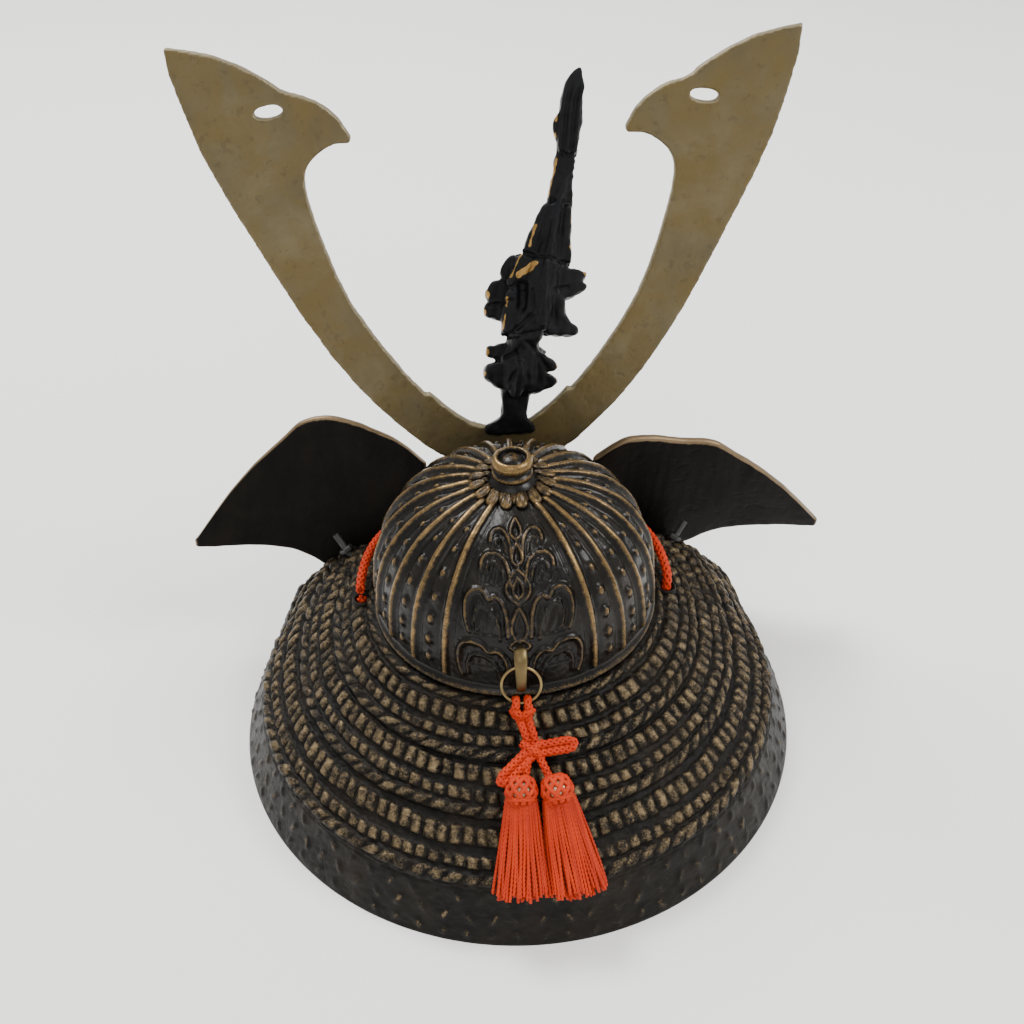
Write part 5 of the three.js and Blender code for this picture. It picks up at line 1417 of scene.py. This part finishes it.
def make_stage(stage):
    bpy.ops.mesh.primitive_plane_add(size=12.0, location=(0, 0, 0))
    floor = bpy.context.active_object
    floor.name = "floor"
    material, tree, shader = new_material("floor_paper")
    soft = remap(tree, noise(tree, 3.0, 2.0), 0.3, 0.7)
    pale = rgba(stage.floor_colour)
    tree.links.new(mix_colour(tree, soft, pale, rgba([c * 0.985 for c in stage.floor_colour])),
                   shader.inputs["Base Color"])
    shader.inputs["Roughness"].default_value = 0.7
    shader.inputs["Specular IOR Level"].default_value = 0.2
    floor.data.materials.append(material)
    world = bpy.data.worlds.new("studio")
    bpy.context.scene.world = world
    world.use_nodes = True
    background = world.node_tree.nodes["Background"]
    background.inputs["Color"].default_value = (0.93, 0.925, 0.915, 1.0)
    background.inputs["Strength"].default_value = stage.sky
    for name, place, size, power in (("key_light", (0.55, -0.75, 1.35), 0.7, stage.key),
                                     ("window_light", (-1.0, 0.1, 1.1), 0.6, stage.window),
                                     ("near_light", (0.25, 1.3, 1.5), 1.2, stage.near)):
        lamp = bpy.data.lights.new(name, "AREA")
        lamp.shape = "DISK"
        lamp.size = size
        lamp.energy = power
        light = bpy.data.objects.new(name, lamp)
        light.location = place
        aim = Vector((0, 0, 0.07)) - Vector(place)
        light.rotation_euler = aim.to_track_quat("-Z", "Y").to_euler()
        bpy.context.scene.collection.objects.link(light)


def make_camera(stage):
    camera = bpy.data.objects.new("camera", bpy.data.cameras.new("camera"))
    camera.data.lens = stage.lens
    camera.data.sensor_width = 36.0
    camera.data.dof.use_dof = False
    pitch, roll, yaw = (math.radians(a) for a in (stage.pitch, stage.roll, stage.yaw))
    forward = Vector((-math.sin(yaw) * math.cos(pitch), -math.cos(yaw) * math.cos(pitch), -math.sin(pitch)))
    level = forward.cross(Vector((0, 0, 1))).normalized()
    upright = level.cross(forward)
    right = level * math.cos(roll) + upright * math.sin(roll)
    up = upright * math.cos(roll) - level * math.sin(roll)
    turn = Matrix((right, up, -forward)).transposed().to_4x4()
    spot = settle([stage.aside, stage.distance, stage.height])
    camera.matrix_world = Matrix.Translation(Vector(spot)) @ turn
    bpy.context.scene.collection.objects.link(camera)
    bpy.context.scene.camera = camera


# Add-on


def colour(name, description, default):
    return FloatVectorProperty(name=name, description=description, default=default, subtype="COLOR",
                               size=3, min=0.0, max=1.0)


class HelmetColours(bpy.types.PropertyGroup):
    patina: colour("Patina", "Dark skin of the guard and the bowl", (0.0052, 0.0046, 0.0038))
    rubbed_bronze: colour("Rubbed bronze", "Metal showing on the lacing's tops", (0.195, 0.142, 0.078))
    rubbed_gold: colour("Rubbed gold", "Metal showing on the ribs and leaves", (0.25, 0.158, 0.062))
    ear_edge: colour("Ear edge", "Metal showing along the ear plates' edges", (0.2, 0.14, 0.08))
    horn_brass: colour("Horn brass", "Back of the horns", (0.135, 0.108, 0.055))
    horn_edge: colour("Horn edge", "Edges of the horns", (0.2, 0.165, 0.1))
    crest_black: colour("Crest black", "Skin of the dragon", (0.0048, 0.0049, 0.0056))
    gilt: colour("Gilt", "Touches of gold on the dragon", (0.32, 0.19, 0.06))
    silk: colour("Silk", "Cord and tassels", (0.52, 0.034, 0.002))
    ring_brass: colour("Ring brass", "Ring and staple", (0.27, 0.195, 0.085))
    bolt_steel: colour("Bolt steel", "Bolts and nuts", (0.09, 0.09, 0.085))


class HelmetSizes(bpy.types.PropertyGroup):
    bar_pitch: FloatProperty(name="Bar pitch", description="Width of one lacing bar in mm",
                             default=4.0, min=2.0)
    rope_pitch: FloatProperty(name="Rope pitch", description="Length of one rope strand in mm",
                              default=5.3, min=2.0)
    guard_columns: IntProperty(name="Guard columns", description="Columns of faces round the guard",
                               default=600, min=200)
    rib_height: FloatProperty(name="Rib height", description="How far the ribs stand out in mm",
                              default=1.2, min=0.2)
    leaf_height: FloatProperty(name="Leaf height", description="How far the leaf lines stand out in mm",
                               default=1.05, min=0.1)
    petals: IntProperty(name="Petals", description="Petals in each ring of the finial", default=16, min=6)
    splay: FloatProperty(name="Splay", description="Degrees that each tassel leans outward", default=6.0)
    strands: IntProperty(name="Strands", description="Threads in one layer of a tassel", default=19, min=4)
    fringe: FloatProperty(name="Fringe", description="Length of the threads in mm", default=28.6, min=5.0)


class HelmetStage(bpy.types.PropertyGroup):
    floor_colour: colour("Floor", "Colour of the floor", (0.95, 0.94, 0.92))
    sky: FloatProperty(name="Sky", description="Strength of the light all round", default=1.0, min=0.0)
    key: FloatProperty(name="Key", description="Power of the key light in watts", default=26.0, min=0.0)
    window: FloatProperty(name="Window", description="Power of the side light in watts",
                          default=14.0, min=0.0)
    near: FloatProperty(name="Near", description="Power of the light behind the camera in watts",
                        default=9.0, min=0.0)
    lens: FloatProperty(name="Lens", description="Focal length in mm", default=40.22, min=10.0)
    pitch: FloatProperty(name="Pitch", description="Degrees that the camera looks down", default=38.78)
    roll: FloatProperty(name="Roll", description="Degrees that the camera is turned about its axis",
                        default=-1.2)
    yaw: FloatProperty(name="Yaw", description="Degrees that the camera looks aside", default=1.58)
    aside: FloatProperty(name="Aside", description="Camera's place across in mm", default=8.1)
    distance: FloatProperty(name="Distance", description="Camera's place behind the rim's middle in mm",
                            default=277.57)
    height: FloatProperty(name="Height", description="Camera's height in mm", default=310.82)


class HELMET_OT_materials(bpy.types.Operator):
    """Make the metals, the patina and the silk"""
    bl_idname = "helmet.materials"
    bl_label = "Materials"

    def execute(self, context):
        make_materials(context.scene.helmet_colours)
        return {"FINISHED"}


class HELMET_OT_stage(bpy.types.Operator):
    """Set the floor, the lights and the camera"""
    bl_idname = "helmet.stage"
    bl_label = "Stage"

    def execute(self, context):
        make_camera(context.scene.helmet_stage)
        make_stage(context.scene.helmet_stage)
        return {"FINISHED"}


class HELMET_OT_cords(bpy.types.Operator):
    """Lay the chin cord"""
    bl_idname = "helmet.cords"
    bl_label = "Chin cord"

    def execute(self, context):
        make_chin_cord()
        return {"FINISHED"}


class HELMET_OT_guard(bpy.types.Operator):
    """Cast the laced neck guard with its eyelets"""
    bl_idname = "helmet.guard"
    bl_label = "Neck guard"

    def execute(self, context):
        make_guard(context.scene.helmet_sizes)
        make_eyelets()
        return {"FINISHED"}


class HELMET_OT_bowl(bpy.types.Operator):
    """Cast the ribbed bowl and its finial"""
    bl_idname = "helmet.bowl"
    bl_label = "Bowl and finial"

    def execute(self, context):
        make_bowl(context.scene.helmet_sizes)
        make_finial(context.scene.helmet_sizes)
        return {"FINISHED"}


class HELMET_OT_plates(bpy.types.Operator):
    """Cast the horns, the ear plates, the visor and the bracket"""
    bl_idname = "helmet.plates"
    bl_label = "Horns, ears and visor"

    def execute(self, context):
        make_plates()
        make_front()
        return {"FINISHED"}


class HELMET_OT_crest(bpy.types.Operator):
    """Sculpt the dragon crest"""
    bl_idname = "helmet.crest"
    bl_label = "Dragon crest"

    def execute(self, context):
        make_crest()
        return {"FINISHED"}


class HELMET_OT_fittings(bpy.types.Operator):
    """Make the bolts, the ring, the hanger cord and the tassels"""
    bl_idname = "helmet.fittings"
    bl_label = "Fittings and tassels"

    def execute(self, context):
        make_bolts()
        wire = make_ring()
        make_hanger(wire)
        make_tassel(1, "left", context.scene.helmet_sizes)
        make_tassel(-1, "right", context.scene.helmet_sizes)
        return {"FINISHED"}


class HELMET_PT_panel(bpy.types.Panel):
    """Lists the helmet's pieces in the sidebar"""
    bl_idname = "HELMET_PT_panel"
    bl_label = "Cast helmet"
    bl_space_type = "VIEW_3D"
    bl_region_type = "UI"
    bl_category = "Helmet"

    def draw(self, context):
        for operator in OPERATORS:
            self.layout.operator(operator.bl_idname)
        for group in (context.scene.helmet_colours, context.scene.helmet_sizes, context.scene.helmet_stage):
            for name in group.__annotations__:
                self.layout.prop(group, name)


OPERATORS = (HELMET_OT_materials, HELMET_OT_stage, HELMET_OT_cords, HELMET_OT_guard, HELMET_OT_bowl,
             HELMET_OT_plates, HELMET_OT_crest, HELMET_OT_fittings)
GROUPS = {"helmet_colours": HelmetColours, "helmet_sizes": HelmetSizes, "helmet_stage": HelmetStage}


def register():
    for cls in (*GROUPS.values(), *OPERATORS, HELMET_PT_panel):
        bpy.utils.register_class(cls)
    for name, cls in GROUPS.items():
        setattr(bpy.types.Scene, name, PointerProperty(type=cls))


def unregister():
    for name in GROUPS:
        delattr(bpy.types.Scene, name)
    for cls in (HELMET_PT_panel, *OPERATORS[::-1], *GROUPS.values()):
        bpy.utils.unregister_class(cls)


def main():
    register()
    bpy.ops.helmet.materials()
    bpy.ops.helmet.stage()
    bpy.ops.helmet.cords()
    bpy.ops.helmet.guard()
    bpy.ops.helmet.bowl()
    bpy.ops.helmet.plates()
    bpy.ops.helmet.crest()
    bpy.ops.helmet.fittings()


if __name__ == "__main__":
    main()
